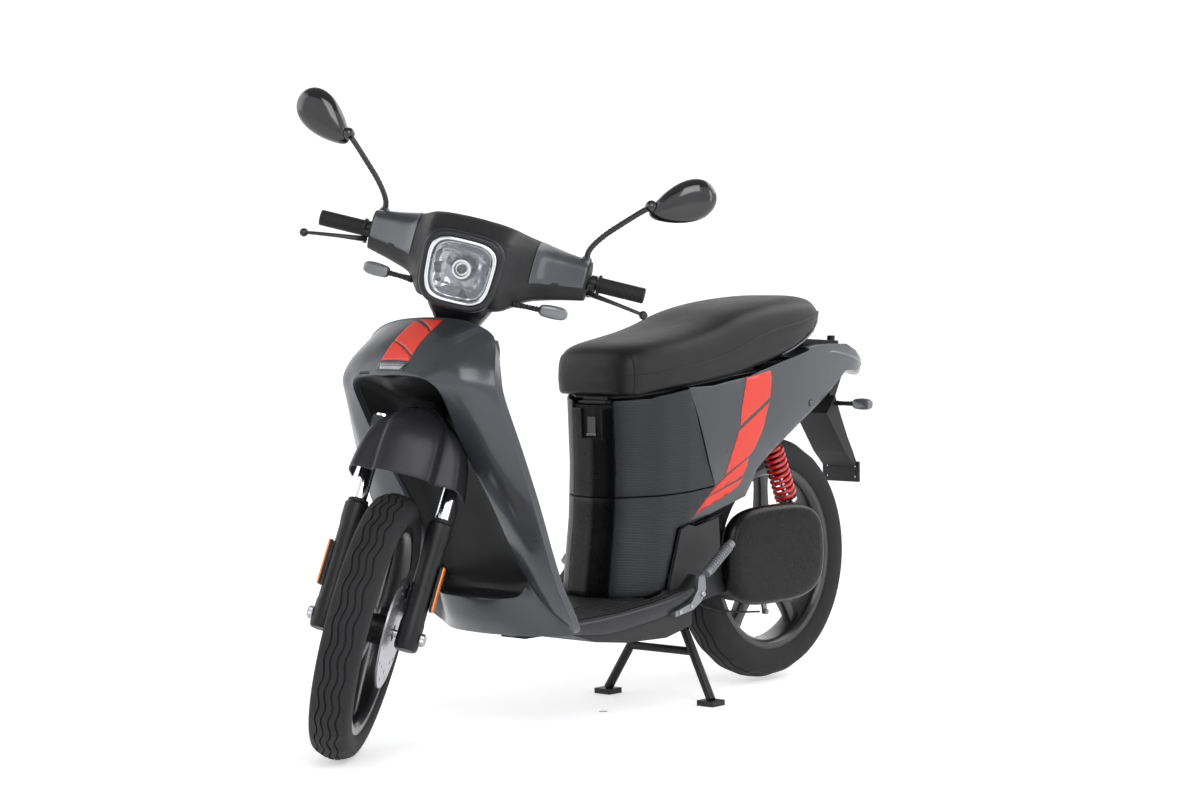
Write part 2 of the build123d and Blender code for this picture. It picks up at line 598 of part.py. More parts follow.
# ---- rear end ----
def swingarm():
    """Motor and belt casing that swings on the frame, and its oval outer cover."""
    oval = [(340, 296), (356, 340), (396, 366), (480, 372), (580, 366), (628, 346), (664, 310), (664, 262), (636, 222),
            (570, 206), (440, 204), (370, 226), (348, 256)]
    case = prism(oval, "x", 62, 129)
    arm = prism([(222, 290), (250, 300), (360, 330), (360, 240), (262, 226), (222, 232)], "x", 62, 129)
    case = case + arm + cross_rod(SWING_PIVOT[0], SWING_PIVOT[1], 34, 62, 129)
    case -= cross_rod(SWING_PIVOT[0], SWING_PIVOT[1], 10 + RUNNING_FIT, 50, 140)
    case -= box_at((60, 118), (574, 700), (352, 420))
    ears = prism([(600, 340), (607, 396), (629, 396), (640, 340)], "x", 84, 91)
    ears += prism([(600, 340), (607, 396), (629, 396), (640, 340)], "x", 109, 116)
    ears += cross_rod(SHOCK_EYE[0], SHOCK_EYE[1], 5, 84, 116)
    axle = cross_rod(HALF_WHEELBASE, REAR_AXLE_Z, 10, -46, 62) + cross_rod(HALF_WHEELBASE, REAR_AXLE_Z, 16, -52, -42)
    drum = cross_rod(HALF_WHEELBASE, REAR_AXLE_Z, 78, 48, 62)
    case = case + ears + axle + drum
    case = case + cross_rod(BRAKE_ARM_PIVOT[0], BRAKE_ARM_PIVOT[1], 5, 48, 63)
    middle_y, middle_z = 500.0, 308.0
    half_long, half_high = 172.0, 109.0
    straight = half_long - half_high + 8
    cover = box_at((130, 162), (middle_y - straight, middle_y + straight), (middle_z - half_high, middle_z + half_high))
    corner = half_high - 8
    for end in (-1, 1):
        tip = Pos(146, middle_y + end * straight, middle_z) * Rot(0, 90, 0) * scale(Cylinder(1, 32),
                                                                                   by=(half_high, corner, 1))
        cover += tip
    cover = cover - box_at((120, 158), (middle_y - straight, middle_y + straight), (middle_z - 90, middle_z + 90))
    cable = tube_path(CABLE_ROUTE, CABLE_RADII, CABLE_R)
    return {"motor_case": case, "belt_cover": cover, "rear_brake_cable": cable}


CABLE_R = 2.2
CABLE_ROUTE = [(58, 326, 226), (58, 344, 202), (57, 410, 184), (56, 490, 172), (55, 560, 166)]
CABLE_RADII = [60, 200, 300]


def brake_arm():
    """Arm that turns the drum brake's cam, with a clevis at its lower end."""
    y, z = BRAKE_ARM_PIVOT
    arm = prism([(y - 8, z + 2), (y, z + 9), (y + 8, z + 2), (y + 14, z - 44), (y + 2, z - 44)], "x", 50, 56)
    arm += cross_rod(y, z, 9, 50, 61) + cross_rod(y + 8, z - 41, 6, 48.5, 60)
    return arm - cross_rod(y, z, 5 + RUNNING_FIT, 40, 70)


def shock():
    """Coil-over shock: body on the frame pin, rod with the lower eye, and the spring."""
    top = Vector(SHOCK_X, *SHOCK_TOP)
    eye = Vector(SHOCK_X, *SHOCK_EYE)
    down = (eye - top).normalized()
    length = (eye - top).length

    def along(distance):
        return tuple(top + down * distance)

    body = cross_rod(SHOCK_TOP[0], SHOCK_TOP[1], 12, SHOCK_X - 12, SHOCK_X + 12)
    body += rod(along(8), along(22), 22) + rod(along(20), along(100), 13)
    body -= rod(along(36), along(101), 7 + RUNNING_FIT)
    body -= cross_rod(SHOCK_TOP[0], SHOCK_TOP[1], 6 + RUNNING_FIT, 60, 140)
    piston = rod(along(94), along(length - 8), 7) + rod(along(156), along(163), 24)
    piston += rod(along(157), along(length), 6.8) + cross_rod(SHOCK_EYE[0], SHOCK_EYE[1], 12, 93, 107)
    piston -= cross_rod(SHOCK_EYE[0], SHOCK_EYE[1], 7, 60, 140)
    coil_r = 22.0
    wire_r = 4.0
    spring = rod(along(22.3), along(155.7), coil_r + wire_r) - rod(along(22), along(156), coil_r - wire_r)
    return {"shock_body": body, "shock_rod": piston, "shock_spring": spring}


def rear_fender():
    """Licence-plate carrier under the tail with its plate face."""
    tongue = prism([(835, 600), (868, 640), (890, 593), (916, 541), (938, 505), (953, 476), (944, 470), (906, 506),
                    (868, 556)], "x", -46, 46)
    plate = box_at((-52, 52), (PLATE_FACE_Y - 6, PLATE_FACE_Y), (432, 480))
    for x in (-PLATE_HOLE_X, PLATE_HOLE_X):
        for z in PLATE_HOLE_Z:
            plate -= rod((x, PLATE_FACE_Y - 10, z), (x, PLATE_FACE_Y + 10, z), PLATE_HOLE_R)
    hanger = prism([(860, 602), (880, 618), (925, 700), (880, 700)], "x", -30, 30)
    return tongue + hanger + plate


def rack():
    """Flat carrier with four threaded bosses and three slots."""
    deck = prism([(684, 765), (700, 778), (846, 769), (846, 758), (700, 766)], "x", -72, 72)
    for x in (-40, 0, 40):
        deck -= box_at((x - 13, x + 13), (735, 825), (740, 790))
    for x in (-RACK_BOLT_X, RACK_BOLT_X):
        for y in RACK_BOLT_Y:
            deck += rod((x, y, 750), (x, y, RACK_BOSS_Z), 9)
            deck -= rod((x, y, 740), (x, y, RACK_BOSS_Z + 1), RACK_HOLE_R)
    return deck


def ignition_key():
    """Key in its lock, seen on the rider's side of the shield."""
    x, y, z = KEY_CENTRE
    plug = rod((x, y - 14, z), (x, y + 1, z), 7)
    return plug + box_at((x - 1.5, x + 1.5), (y, y + 9), (z - 4, z + 4)) + box_at((x - 2, x + 2), (y + 9, y + 30),
                                                                                 (z - 11, z + 11))


def bag_hook():
    y = 56
    plate = box_at((-11, 11), (y - 3, y + 2), (HOOK_PIVOT_Z, HOOK_PIVOT_Z + 38))
    plate += cross_rod(y, HOOK_PIVOT_Z, 4.5, -13, 13)
    return plate - cross_rod(y, HOOK_PIVOT_Z, 2 + RUNNING_FIT, -14, 14)


def peg_bracket():
    bracket = prism([(97, 212), (97, 223), (150, 236), (172, 262), (176, 290), (196, 300), (200, 262), (186, 238),
                     (157, 222)], "x", 176, 190)
    return bracket


def footpeg():
    rise = math.radians(PEG_RISE_DEG)
    direction = Vector(0, math.cos(rise), math.sin(rise))
    start = Vector(*PEG_PIVOT) + Vector(13, 0, 0)
    end = start + direction * 105
    return rod(tuple(start), tuple(end), 9.5)


def stand(floor_z):
    """Two-legged centre stand, down, with its feet a little ahead of its pivot."""
    py, pz = STAND_PIVOT
    foot_y = py - 16
    barrel = cross_rod(py, pz, 14, 38, 66)
    leg = rod((56, py, pz), (146, foot_y, floor_z + 12), 10)
    foot = box_at((124, 168), (foot_y - 22, foot_y + 20), (floor_z, floor_z + 12))
    side = barrel + leg + foot
    side -= cross_rod(py, pz, 9 + RUNNING_FIT, -80, 80)
    return side + mirrored(side) + cross_rod(py - 5.4, pz - 55, 9, -88, 88)


def build():
    """Every piece in its place, by node name."""
    steered = {}
    steered.update(front_wheel())
    steered.update(fork_lower())
    steered.update(steering_base())
    steered.update(cowl())
    steered["handlebar"] = handlebar()
    steered["left_grip"] = grip(1, BAR_R)
    steered["throttle_grip"] = grip(-1, BAR_R + RUNNING_FIT)
    for side, word in ((1, "left"), (-1, "right")):
        steered["brake_lever_" + word] = brake_lever(side)
        steered["mirror_head_" + word] = mirror_head() if side > 0 else mirrored(mirror_head())
    steered["mirror_arms"] = both_sides(mirror_arm())
    steered["front_indicators"] = indicators((104, -372, 905), (212, -340, 905), (156, -357, 905), 13)
    steered["horn_button"] = rod((175, GRIP_Y - 2, 948), (175, GRIP_Y + 27, 948), 6)
    pieces = {name: shape.rotate(STEERING_AXIS, STEER_REST_DEG) for name, shape in steered.items()}
    floor_z = pieces["front_tyre"].bounding_box().min.Z
    pieces.update(shield())
    pieces["frame"] = frame()
    pieces.update(column())
    pieces.update(panels())
    pieces.update(under_seat())
    pieces.update(floor())
    pieces.update(seat())
    pieces.update(swingarm())
    pieces.update(shock())
    pieces.update(rear_wheel())
    pieces["plate_holder"] = rear_fender()
    pieces["rear_rack"] = rack()
    pieces["rear_indicators"] = indicators((28, 872, 622), (154, 860, 622), (112, 864, 622), 13)
    pieces["peg_brackets"] = both_sides(peg_bracket())
    pieces["footpeg_left"] = footpeg()
    pieces["footpeg_right"] = mirrored(footpeg())
    pieces["centre_stand"] = stand(floor_z)
    pieces["drum_brake_arm"] = brake_arm()
    pieces["ignition_key"] = ignition_key()
    pieces["bag_hook"] = bag_hook()
    for name, cutters in NEIGHBOUR_CUTS.items():
        pieces[name] = without(pieces[name], *[pieces[cutter] for cutter in cutters])
    return pieces


# Covers that make room for what passes through them.
NEIGHBOUR_CUTS = {
    "front_tyre": ["front_rim"],
    "rear_tyre": ["rear_rim"],
    "dash_cover": ["mirror_arms", "handlebar"],
    "headlight_cowl": ["front_indicators"],
    "inner_shield": ["frame"],
    "belly_pan": ["frame"],
    "footboard": ["frame", "peg_brackets", "belly_pan", "inner_shield"],
    "plate_holder": ["rear_indicators"],
}


def main():
    pieces = build()
    boxes = [shape.bounding_box() for shape in pieces.values()]
    low = [min(getattr(box.min, axis) for box in boxes) for axis in "XYZ"]
    high = [max(getattr(box.max, axis) for box in boxes) for axis in "XYZ"]
    shift = Vector(-(low[0] + high[0]) / 2, -(low[1] + high[1]) / 2, -low[2])
    os.makedirs("parts", exist_ok=True)
    for name, shape in pieces.items():
        export_step(Compound(shape.solids()).moved(Location(shift)), "parts/" + name + ".step")
    print("shift", tuple(round(value, 3) for value in shift))


main()
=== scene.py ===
import json
import math

import bmesh
import bpy
import numpy as np
from mathutils import Matrix, Vector


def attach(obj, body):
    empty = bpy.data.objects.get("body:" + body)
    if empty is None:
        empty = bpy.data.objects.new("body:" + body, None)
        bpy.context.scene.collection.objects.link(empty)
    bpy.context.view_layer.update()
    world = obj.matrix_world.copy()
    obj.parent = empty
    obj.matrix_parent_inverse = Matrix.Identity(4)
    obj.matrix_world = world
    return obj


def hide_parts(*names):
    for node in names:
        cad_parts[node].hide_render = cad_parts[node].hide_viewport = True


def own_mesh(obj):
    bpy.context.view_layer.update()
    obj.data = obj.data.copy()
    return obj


# Looks for the electric moped scooter. Shapes are given in millimetres in three places:
# "body" is the standing machine, "bars" is the steered part set straight ahead, and "fork" is (x, back, s)
# with s along the steering axis. Points of the bars and the fork are turned to the left lock, where the
# machine is parked.

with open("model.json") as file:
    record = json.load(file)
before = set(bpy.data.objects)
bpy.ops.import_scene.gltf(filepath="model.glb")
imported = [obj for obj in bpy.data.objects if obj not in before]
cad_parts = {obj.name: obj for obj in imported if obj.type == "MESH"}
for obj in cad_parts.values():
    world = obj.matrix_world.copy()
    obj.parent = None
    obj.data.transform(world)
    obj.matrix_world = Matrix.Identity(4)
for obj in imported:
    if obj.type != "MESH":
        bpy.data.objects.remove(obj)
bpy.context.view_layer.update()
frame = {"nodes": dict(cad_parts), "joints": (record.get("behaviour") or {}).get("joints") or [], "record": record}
JOINTS = {joint["name"]: joint for joint in frame["joints"]}

# The steering axis as a point and two directions, and the lock that the machine is parked at.
RAKE = math.radians(24.0)
UP_AXIS = np.array([0.0, math.sin(RAKE), math.cos(RAKE)])
BACK_AXIS = np.array([0.0, math.cos(RAKE), -math.sin(RAKE)])
FOOT = np.array([0.0, -732.0, -5.05])
LOCK = math.radians(37.0)

# The wheel hubs, and the shift from these places to the row frame. The front hub is a fork point.
FRONT_HUB = (0.0, -23.7, 279.5)
REAR_HUB = (0.0, 640.0, 281.0)
SHIFT = np.array(JOINTS["rear_wheel_spin"]["pos_m"]) - np.array(REAR_HUB) / 1000
FORK_X = 85
FORK_BACK = FRONT_HUB[1]
SIDES = ((1, "left"), (-1, "right"))

# The place and the body that most pieces belong to.
CHASSIS = ("body", "chassis")
BARS = ("bars", "steering")
UPPER_FORK = ("fork", "steering")
LOWER_FORK = ("fork", "fork_lower")


# ---- places ----
def turned(points):
    p = points - FOOT
    along = np.outer(p @ UP_AXIS, UP_AXIS)
    return FOOT + p * math.cos(LOCK) + np.cross(UP_AXIS, p) * math.sin(LOCK) + along * (1 - math.cos(LOCK))


def to_row(points, where):
    """Millimetre points of a place, in the row frame in metres."""
    p = np.asarray(points, float).reshape(-1, 3)
    if where == "fork":
        p = FOOT + p[:, :1] * np.array([1.0, 0.0, 0.0]) + p[:, 1:2] * BACK_AXIS + p[:, 2:] * UP_AXIS
    if where in ("fork", "bars"):
        p = turned(p)
    return p * 0.001 + SHIFT


# ---- finishes ----
def add_node(tree, kind, values, *feeds):
    """A node with its input values set. Each feed is an output and the name of the input it goes to."""
    node = tree.nodes.new("ShaderNode" + kind)
    if kind == "Mix":
        node.data_type = "RGBA"
    for name, value in values.items():
        node.inputs[name].default_value = value
    for output, name in feeds:
        tree.links.new(output, node.inputs[name])
    return node


def finish(name, colour, rough, metal=0.0, coat=0.0, tone=0.12, grain=(900.0, 0.05), stretch=(1.0, 1.0, 1.0),
           edge_highlight=0.3, alpha=1.0, ribs=0.0):
    """A node material with tone variation, a bumped grain and a painted highlight along convex edges."""
    material = bpy.data.materials.new(name)
    material.use_nodes = True
    tree = material.node_tree
    shader = tree.nodes["Principled BSDF"]
    for word, value in (("Metallic", metal), ("Coat Weight", coat), ("Coat Roughness", 0.08),
                        ("Alpha", alpha)):
        shader.inputs[word].default_value = value
    place = tree.nodes.new("ShaderNodeTexCoord").outputs["Object"]
    mapped = add_node(tree, "Mapping", {"Scale": stretch}, (place, "Vector")).outputs["Vector"]
    cloud = add_node(tree, "TexNoise", {"Scale": 9.0, "Detail": 5.0}, (mapped, "Vector"))
    tones = add_node(tree, "Mix", {"A": [channel * (1 - tone) for channel in colour] + [1.0],
                                   "B": [min(1.0, channel * (1 + tone)) for channel in colour] + [1.0]},
                     (cloud.outputs["Fac"], "Factor"))
    geometry = tree.nodes.new("ShaderNodeNewGeometry")
    # Convex edges, picked out by pointiness, are mixed toward a lighter colour: a painted highlight along the
    # edges.
    edge = add_node(tree, "MapRange", {"From Min": 0.53, "From Max": 0.62, "To Max": edge_highlight},
                    (geometry.outputs["Pointiness"], "Value"))
    highlit_edges = add_node(tree, "Mix", {"B": [min(1.0, 0.025 + channel * 1.4) for channel in colour] + [1.0]},
                    (edge.outputs["Result"], "Factor"), (tones.outputs["Result"], "A"))
    patches = add_node(tree, "TexNoise", {"Scale": 34.0, "Detail": 3.0}, (mapped, "Vector"))
    gloss = add_node(tree, "MapRange", {"To Min": max(0.02, rough - 0.06), "To Max": rough + 0.06},
                     (patches.outputs["Fac"], "Value"))
    fine = add_node(tree, "TexNoise", {"Scale": grain[0], "Detail": 2.0}, (mapped, "Vector"))
    bump = add_node(tree, "Bump", {"Strength": grain[1], "Distance": 0.001}, (fine.outputs["Fac"], "Height"))
    if ribs:
        wave = add_node(tree, "TexWave", {"Scale": ribs, "Distortion": 0.6, "Detail": 1.0}, (place, "Vector"))
        wave.bands_direction = "Z"
        bump = add_node(tree, "Bump", {"Strength": 0.35, "Distance": 0.0008}, (wave.outputs["Fac"], "Height"),
                        (bump.outputs["Normal"], "Normal"))
    for output, word in ((highlit_edges.outputs["Result"], "Base Color"), (gloss.outputs["Result"], "Roughness"),
                         (bump.outputs["Normal"], "Normal")):
        tree.links.new(output, shader.inputs[word])
    return material


def facet_finish(name):
    """The lamp's bright reflector: facet cells in the bump, and light and dark patches in its colour that are
    painted reflections.
    """
    # The strong tone variation paints light and dark patches that stand in for reflected surroundings.
    material = finish(name, (0.30, 0.31, 0.33), 0.12, metal=1.0, tone=0.5, grain=(60.0, 0.3))
    tree = material.node_tree
    place = next(node for node in tree.nodes if node.bl_idname == "ShaderNodeTexCoord")
    cells = add_node(tree, "TexVoronoi", {"Scale": 38.0}, (place.outputs["Object"], "Vector"))
    bump = add_node(tree, "Bump", {"Strength": 0.8, "Distance": 0.004}, (cells.outputs["Distance"], "Height"))
    tree.links.new(bump.outputs["Normal"], tree.nodes["Principled BSDF"].inputs["Normal"])
    return material


LOOKS = {
    "painted_p": finish("dark_paint", (0.044, 0.047, 0.054), 0.30, metal=0.45, coat=0.4, tone=0.06,
                        grain=(1500, 0.02)),
    "moulding": finish("black_moulding", (0.008, 0.008, 0.009), 0.52, grain=(1200, 0.18)),
    "satin": finish("satin_black", (0.012, 0.012, 0.014), 0.38, grain=(1400, 0.06)),
    "ribbed": finish("ribbed_black", (0.013, 0.014, 0.016), 0.42, grain=(1200, 0.1), ribs=95.0),
    "gloss": finish("gloss_black", (0.004, 0.004, 0.005), 0.12, coat=0.5, grain=(300, 0.01), edge_highlight=0.15),
    "tyre": finish("tyre_rubber", (0.011, 0.011, 0.012), 0.74, grain=(700, 0.3), edge_highlight=0.15),
    "rim": finish("wheel_black", (0.007, 0.007, 0.008), 0.3, coat=0.25, grain=(800, 0.05)),
    "steel": finish("black_steel", (0.008, 0.008, 0.009), 0.4, metal=0.2, grain=(900, 0.1)),
    "steel_al": finish("black_alloy", (0.008, 0.008, 0.009), 0.28, metal=0.3, coat=0.25, grain=(900, 0.04)),
    "leg": finish("black_casting", (0.009, 0.009, 0.010), 0.4, metal=0.2, grain=(700, 0.12)),
    "cast": finish("cast_alloy", (0.20, 0.205, 0.215), 0.42, metal=0.8, grain=(500, 0.2)),
    "chrome": finish("chrome", (0.66, 0.67, 0.69), 0.10, metal=1.0, tone=0.03, grain=(200, 0.01)),
    "chrome_p": finish("chrome_trim", (0.66, 0.67, 0.69), 0.12, metal=1.0, tone=0.03, grain=(200, 0.01)),
    "brushed": finish("brushed_steel", (0.42, 0.42, 0.44), 0.32, metal=1.0, grain=(900, 0.12),
                      stretch=(1, 1, 6)),
    "seat": finish("seat_vinyl", (0.004, 0.004, 0.0045), 0.46, grain=(650, 0.25), edge_highlight=0.1),
    "rubber": finish("rubber", (0.008, 0.008, 0.009), 0.62, grain=(800, 0.15)),
    "lens": finish("clear_lens", (0.75, 0.78, 0.82), 0.05, coat=0.4, tone=0.02, grain=(80, 0.03), alpha=0.06),
    "indicator": finish("clear_lamp", (0.15, 0.155, 0.165), 0.2, metal=0.4, coat=0.4, tone=0.35,
                        grain=(140, 0.6)),
    "amber": finish("amber", (0.75, 0.20, 0.01), 0.25, coat=0.5, tone=0.2, grain=(500, 0.4)),
    "red_lens": finish("red_lens", (0.30, 0.006, 0.006), 0.15, coat=0.6, grain=(250, 0.2)),
    "spring": finish("red_spring", (0.42, 0.006, 0.009), 0.3, coat=0.4, grain=(600, 0.05)),
    "battery": finish("battery_case", (0.03, 0.03, 0.035), 0.5, grain=(600, 0.15)),
    "reflector": facet_finish("bright_reflector"),
    "stripe": finish("orange_red", (0.58, 0.028, 0.012), 0.42, tone=0.05, grain=(900, 0.03), edge_highlight=0.05),
    # Near-black, rough and dull: painted shade for the vent slits, the seams round the plugs and the sheets behind
    # the panels.
    "gap": finish("painted_gap_shade", (0.003, 0.003, 0.003), 0.85, grain=(300, 0.05), edge_highlight=0.0),
    "glass": finish("mirror_glass", (0.75, 0.76, 0.78), 0.03, metal=1.0, tone=0.02, grain=(100, 0.005)),
    "lamp_silver": finish("lamp_silver", (0.34, 0.35, 0.37), 0.24, metal=0.7, coat=0.4, grain=(200, 0.1)),
}
LOOKS["cover"] = finish("cover_black", (0.002, 0.002, 0.0025), 0.28, grain=(300, 0.02), edge_highlight=0.0)
LOOKS["cover"].node_tree.nodes["Principled BSDF"].inputs["Specular IOR Level"].default_value = 0.18
for look in ("moulding", "satin", "ribbed", "tyre", "seat", "rubber", "gap", "steel", "leg"):
    LOOKS[look].node_tree.nodes["Principled BSDF"].inputs["Specular IOR Level"].default_value = 0.32
for subpart in frame["record"]["subparts"]:
    node = frame["nodes"][subpart["node"]]
    node.data.materials.clear()
    node.data.materials.append(LOOKS[subpart["material_slot"]])


# ---- mesh helpers ----
def make(name, points, faces, where, body, look, thick=0.0, bevel=0.0, angle=40.0, inside=None,
         stands_for=()):
    """A named piece from millimetre points. With inside, open surfaces face away from that point."""
    mesh = bpy.data.meshes.new(name)
    mesh.from_pydata(to_row(points, where).tolist(), [], faces)
    if inside is None:
        work = bmesh.new()
        work.from_mesh(mesh)
        bmesh.ops.remove_doubles(work, verts=work.verts, dist=1e-6)
        bmesh.ops.recalc_face_normals(work, faces=work.faces)
        work.to_mesh(mesh)
        work.free()
    else:
        centre = Vector(to_row([inside], where)[0])
        facing = sum(face.area * face.normal.dot(face.center - centre) for face in mesh.polygons)
        if facing < 0:
            mesh.flip_normals()
    mesh.polygons.foreach_set("use_smooth", [True] * len(mesh.polygons))
    mesh.set_sharp_from_angle(angle=math.radians(angle))
    mesh.materials.append(LOOKS[look])
    obj = bpy.data.objects.new(name, mesh)
    bpy.context.scene.collection.objects.link(obj)
    if thick:
        wall = obj.modifiers.new("wall", "SOLIDIFY")
        wall.thickness = thick * 0.001
        wall.offset = -1.0
        wall.use_even_offset = False
    if bevel:
        edge = obj.modifiers.new("edge", "BEVEL")
        edge.width = bevel * 0.001
        edge.segments = 2
        edge.limit_method = "ANGLE"
        edge.angle_limit = math.radians(35)
    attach(obj, body)
    if stands_for:
        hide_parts(*stands_for)
    return obj


def spline_weights(t, count):
    """Which four of a padded row to take at each t, and how much of each."""
    t = np.clip(t, 0, count - 1 - 1e-9)
    first = np.floor(t).astype(int)
    f = t - first
    weights = [-0.5 * f + f**2 - 0.5 * f**3, 1 - 2.5 * f**2 + 1.5 * f**3, 0.5 * f + 2 * f**2 - 1.5 * f**3,
               -0.5 * f**2 + 0.5 * f**3]
    return first[:, None] + np.arange(4), np.stack(weights, -1)


def quads(rows, columns, closed=True, looped=False):
    """Faces of a grid of points. closed joins its last column to the first, and looped its last row."""
    faces = []
    for row in range(rows if looped else rows - 1):
        here = row * columns
        after = (row + 1) % rows * columns
        for column in range(columns if closed else columns - 1):
            beside = (column + 1) % columns
            faces.append((here + column, here + beside, after + beside, after + column))
    return faces


def cap_faces(rows, columns):
    """Faces over the first and the last row of a closed grid."""
    return [tuple(range(columns)), tuple(range((rows - 1) * columns, rows * columns))]


def round_points(count):
    """Cosine and sine at even steps round a circle."""
    angles = [2 * math.pi * turn / count for turn in range(count)]
    return [(math.cos(angle), math.sin(angle)) for angle in angles]


def squared(value, power):
    """A cosine or sine pushed outward, which turns a circle into a rounded square."""
    return math.copysign(abs(value) ** power, value)


class Net:
    """A smooth surface through rows of points. u counts rows, v counts columns and closed joins the columns."""

    def __init__(self, rows, closed=False):
        grid = np.array(rows, float)
        self.closed = closed
        self.rows = grid.shape[0]
        self.columns = grid.shape[1] + (1 if closed else 0)
        grid = np.concatenate([2 * grid[:1] - grid[1:2], grid, 2 * grid[-1:] - grid[-2:-1]])
        if closed:
            self.grid = np.concatenate([grid[:, -1:], grid, grid[:, :2]], axis=1)
        else:
            ends = 2 * grid[:, :1] - grid[:, 1:2], 2 * grid[:, -1:] - grid[:, -2:-1]
            self.grid = np.concatenate([ends[0], grid, ends[1]], axis=1)

    def at(self, uv):
        uv = np.asarray(uv, float).reshape(-1, 2)
        row, row_share = spline_weights(uv[:, 0], self.rows)
        column, column_share = spline_weights(uv[:, 1], self.columns)
        picked = self.grid[row[:, :, None], column[:, None, :]]
        return np.einsum("ni,nj,nijk->nk", row_share, column_share, picked)


def lifted(surface, uv, lift, inside):
    """Points of a surface moved out from inside by lift."""
    uv = np.asarray(uv, float).reshape(-1, 2)
    base = surface(uv)
    across = surface(uv + [1e-3, 0]) - surface(uv - [1e-3, 0])
    along = surface(uv + [0, 1e-3]) - surface(uv - [0, 1e-3])
    normal = np.cross(across, along)
    normal /= np.linalg.norm(normal, axis=1, keepdims=True) + 1e-12
    if np.sum(normal * (base - np.array(inside, float))) < 0:
        normal = -normal
    return base + normal * lift


def woven(name, net, steps, where, body, look, caps=False, keep=None, **more):
    """The whole of a net as one piece, with so many steps per row and per column."""
    rows = (net.rows - 1) * steps[0] + 1
    columns = (net.columns - 1) * steps[1] + (0 if net.closed else 1)
    u, v = np.meshgrid(np.arange(rows) / steps[0], np.arange(columns) / steps[1], indexing="ij")
    points = net.at(np.stack([u.ravel(), v.ravel()], 1))
    faces = quads(rows, columns, net.closed)
    if keep is not None:
        faces = [face for face in faces if keep(points[list(face)].mean(0))]
    if caps:
        faces += cap_faces(rows, columns)
    return make(name, points, faces, where, body, look, **more)


def cut_region(outline, cell):
    """A flat polygon cut into cells: its points and faces."""
    work = bmesh.new()
    work.faces.new([work.verts.new((u, v, 0)) for u, v in outline])
    for axis in (0, 1):
        values = [point[axis] for point in outline]
        for line in range(math.ceil(min(values) / cell[axis]), math.floor(max(values) / cell[axis]) + 1):
            spot = [0.0, 0.0, 0.0]
            spot[axis] = line * cell[axis]
            normal = [0.0, 0.0, 0.0]
            normal[axis] = 1.0
            everything = work.verts[:] + work.edges[:] + work.faces[:]
            bmesh.ops.bisect_plane(work, geom=everything, dist=1e-5, plane_co=spot, plane_no=normal)
    work.verts.index_update()
    points = [(vert.co.x, vert.co.y) for vert in work.verts]
    faces = [tuple(vert.index for vert in face.verts) for face in work.faces]
    work.free()
    return points, faces


def region(name, surface, outline, cell, where, body, look, lift=0.0, inside=(0, 0, 0), mirror=False, **more):
    """A piece of a surface inside an outline drawn in the surface's own two coordinates."""
    uv, faces = cut_region(outline, cell)
    points = lifted(surface, uv, lift, inside)
    made = make(name, points, faces, where, body, look, inside=inside, **more)
    if mirror:
        more["stands_for"] = ()
        other_inside = (-inside[0], inside[1], inside[2])
        make(name + "_right", points * [-1, 1, 1], faces, where, body, look, inside=other_inside, **more)
    return made


def rounded(corners, radius, steps=3):
    """A closed polygon with each corner eased, as many points at every corner."""
    corners = np.array(corners, float)
    eased = []
    for index, corner in enumerate(corners):
        before = corners[index - 1] - corner
        after = corners[(index + 1) % len(corners)] - corner
        before_length = np.linalg.norm(before)
        after_length = np.linalg.norm(after)
        start = corner + before / before_length * min(radius, 0.46 * before_length)
        end = corner + after / after_length * min(radius, 0.46 * after_length)
        for step in range(steps + 1):
            t = step / steps
            eased.append((1 - t) ** 2 * start + 2 * t * (1 - t) * corner + t**2 * end)
    return np.array(eased)


def curve_points(points, steps):
    """A smooth line through points."""
    flat = Net([[p, p] for p in points])
    t = np.arange((len(points) - 1) * steps + 1) / steps
    return flat.at(np.stack([t, np.zeros(len(t))], 1))


def swept(name, points, radii, where, body, look, steps=6, sides=18, flat=(1.0, 1.0), wave=None, **more):
    """A round or oval bar along a smooth line, its radius given at each point."""
    line = curve_points(points, steps)
    sizes = curve_points([(radius, 0, 0) for radius in radii], steps)[:, 0]
    if wave is not None:
        sizes = sizes + [wave(index / (len(line) - 1)) for index in range(len(line))]
    tangents = np.gradient(line, axis=0)
    tangents /= np.linalg.norm(tangents, axis=1, keepdims=True)
    guide = np.array([0.0, 0.0, 1.0]) if abs(tangents[0][2]) < 0.8 else np.array([0.0, 1.0, 0.0])
    made = []
    for spot, tangent, size in zip(line, tangents, sizes):
        side = np.cross(tangent, guide)
        side /= np.linalg.norm(side)
        guide = np.cross(side, tangent)
        for c, s in round_points(sides):
            made.append(spot + size * (flat[0] * c * side + flat[1] * s * guide))
    faces = quads(len(line), sides) + cap_faces(len(line), sides)
    return make(name, made, faces, where, body, look, **more)


def spun(name, profile, origin, direction, where, body, look, sides=48, caps=True, **more):
    """A profile of (distance along, radius) turned about a line. One that closes on itself needs no caps."""
    d = np.array(direction, float)
    d /= np.linalg.norm(d)
    guide = np.array([0.0, 0.0, 1.0]) if abs(d[2]) < 0.8 else np.array([0.0, 1.0, 0.0])
    side = np.cross(d, guide)
    side /= np.linalg.norm(side)
    up = np.cross(side, d)
    points = []
    for along, radius in profile:
        for c, s in round_points(sides):
            points.append(np.array(origin) + d * along + max(radius, 0.01) * (c * side + s * up))
    faces = quads(len(profile), sides)
    if caps:
        faces += cap_faces(len(profile), sides)
    return make(name, points, faces, where, body, look, **more)


def ball_profile(radius):
    """Half a circle, to be turned into a ball."""
    return [(-radius * math.cos(math.pi * step / 12),
             radius * math.sin(math.pi * step / 12)) for step in range(13)]


def bolt(name, at, direction, radius, where, body, look="brushed", sides=6):
    profile = [(-2, radius), (0, radius), (radius * 0.6, radius), (radius * 0.75, radius * 0.88),
               (radius * 0.75, radius * 0.5), (radius * 0.4, radius * 0.46)]
    return spun(name, profile, at, direction, where, body, look, sides=sides, bevel=0.4, angle=25)


def flip(points):
    return np.array(points, float) * [-1, 1, 1]


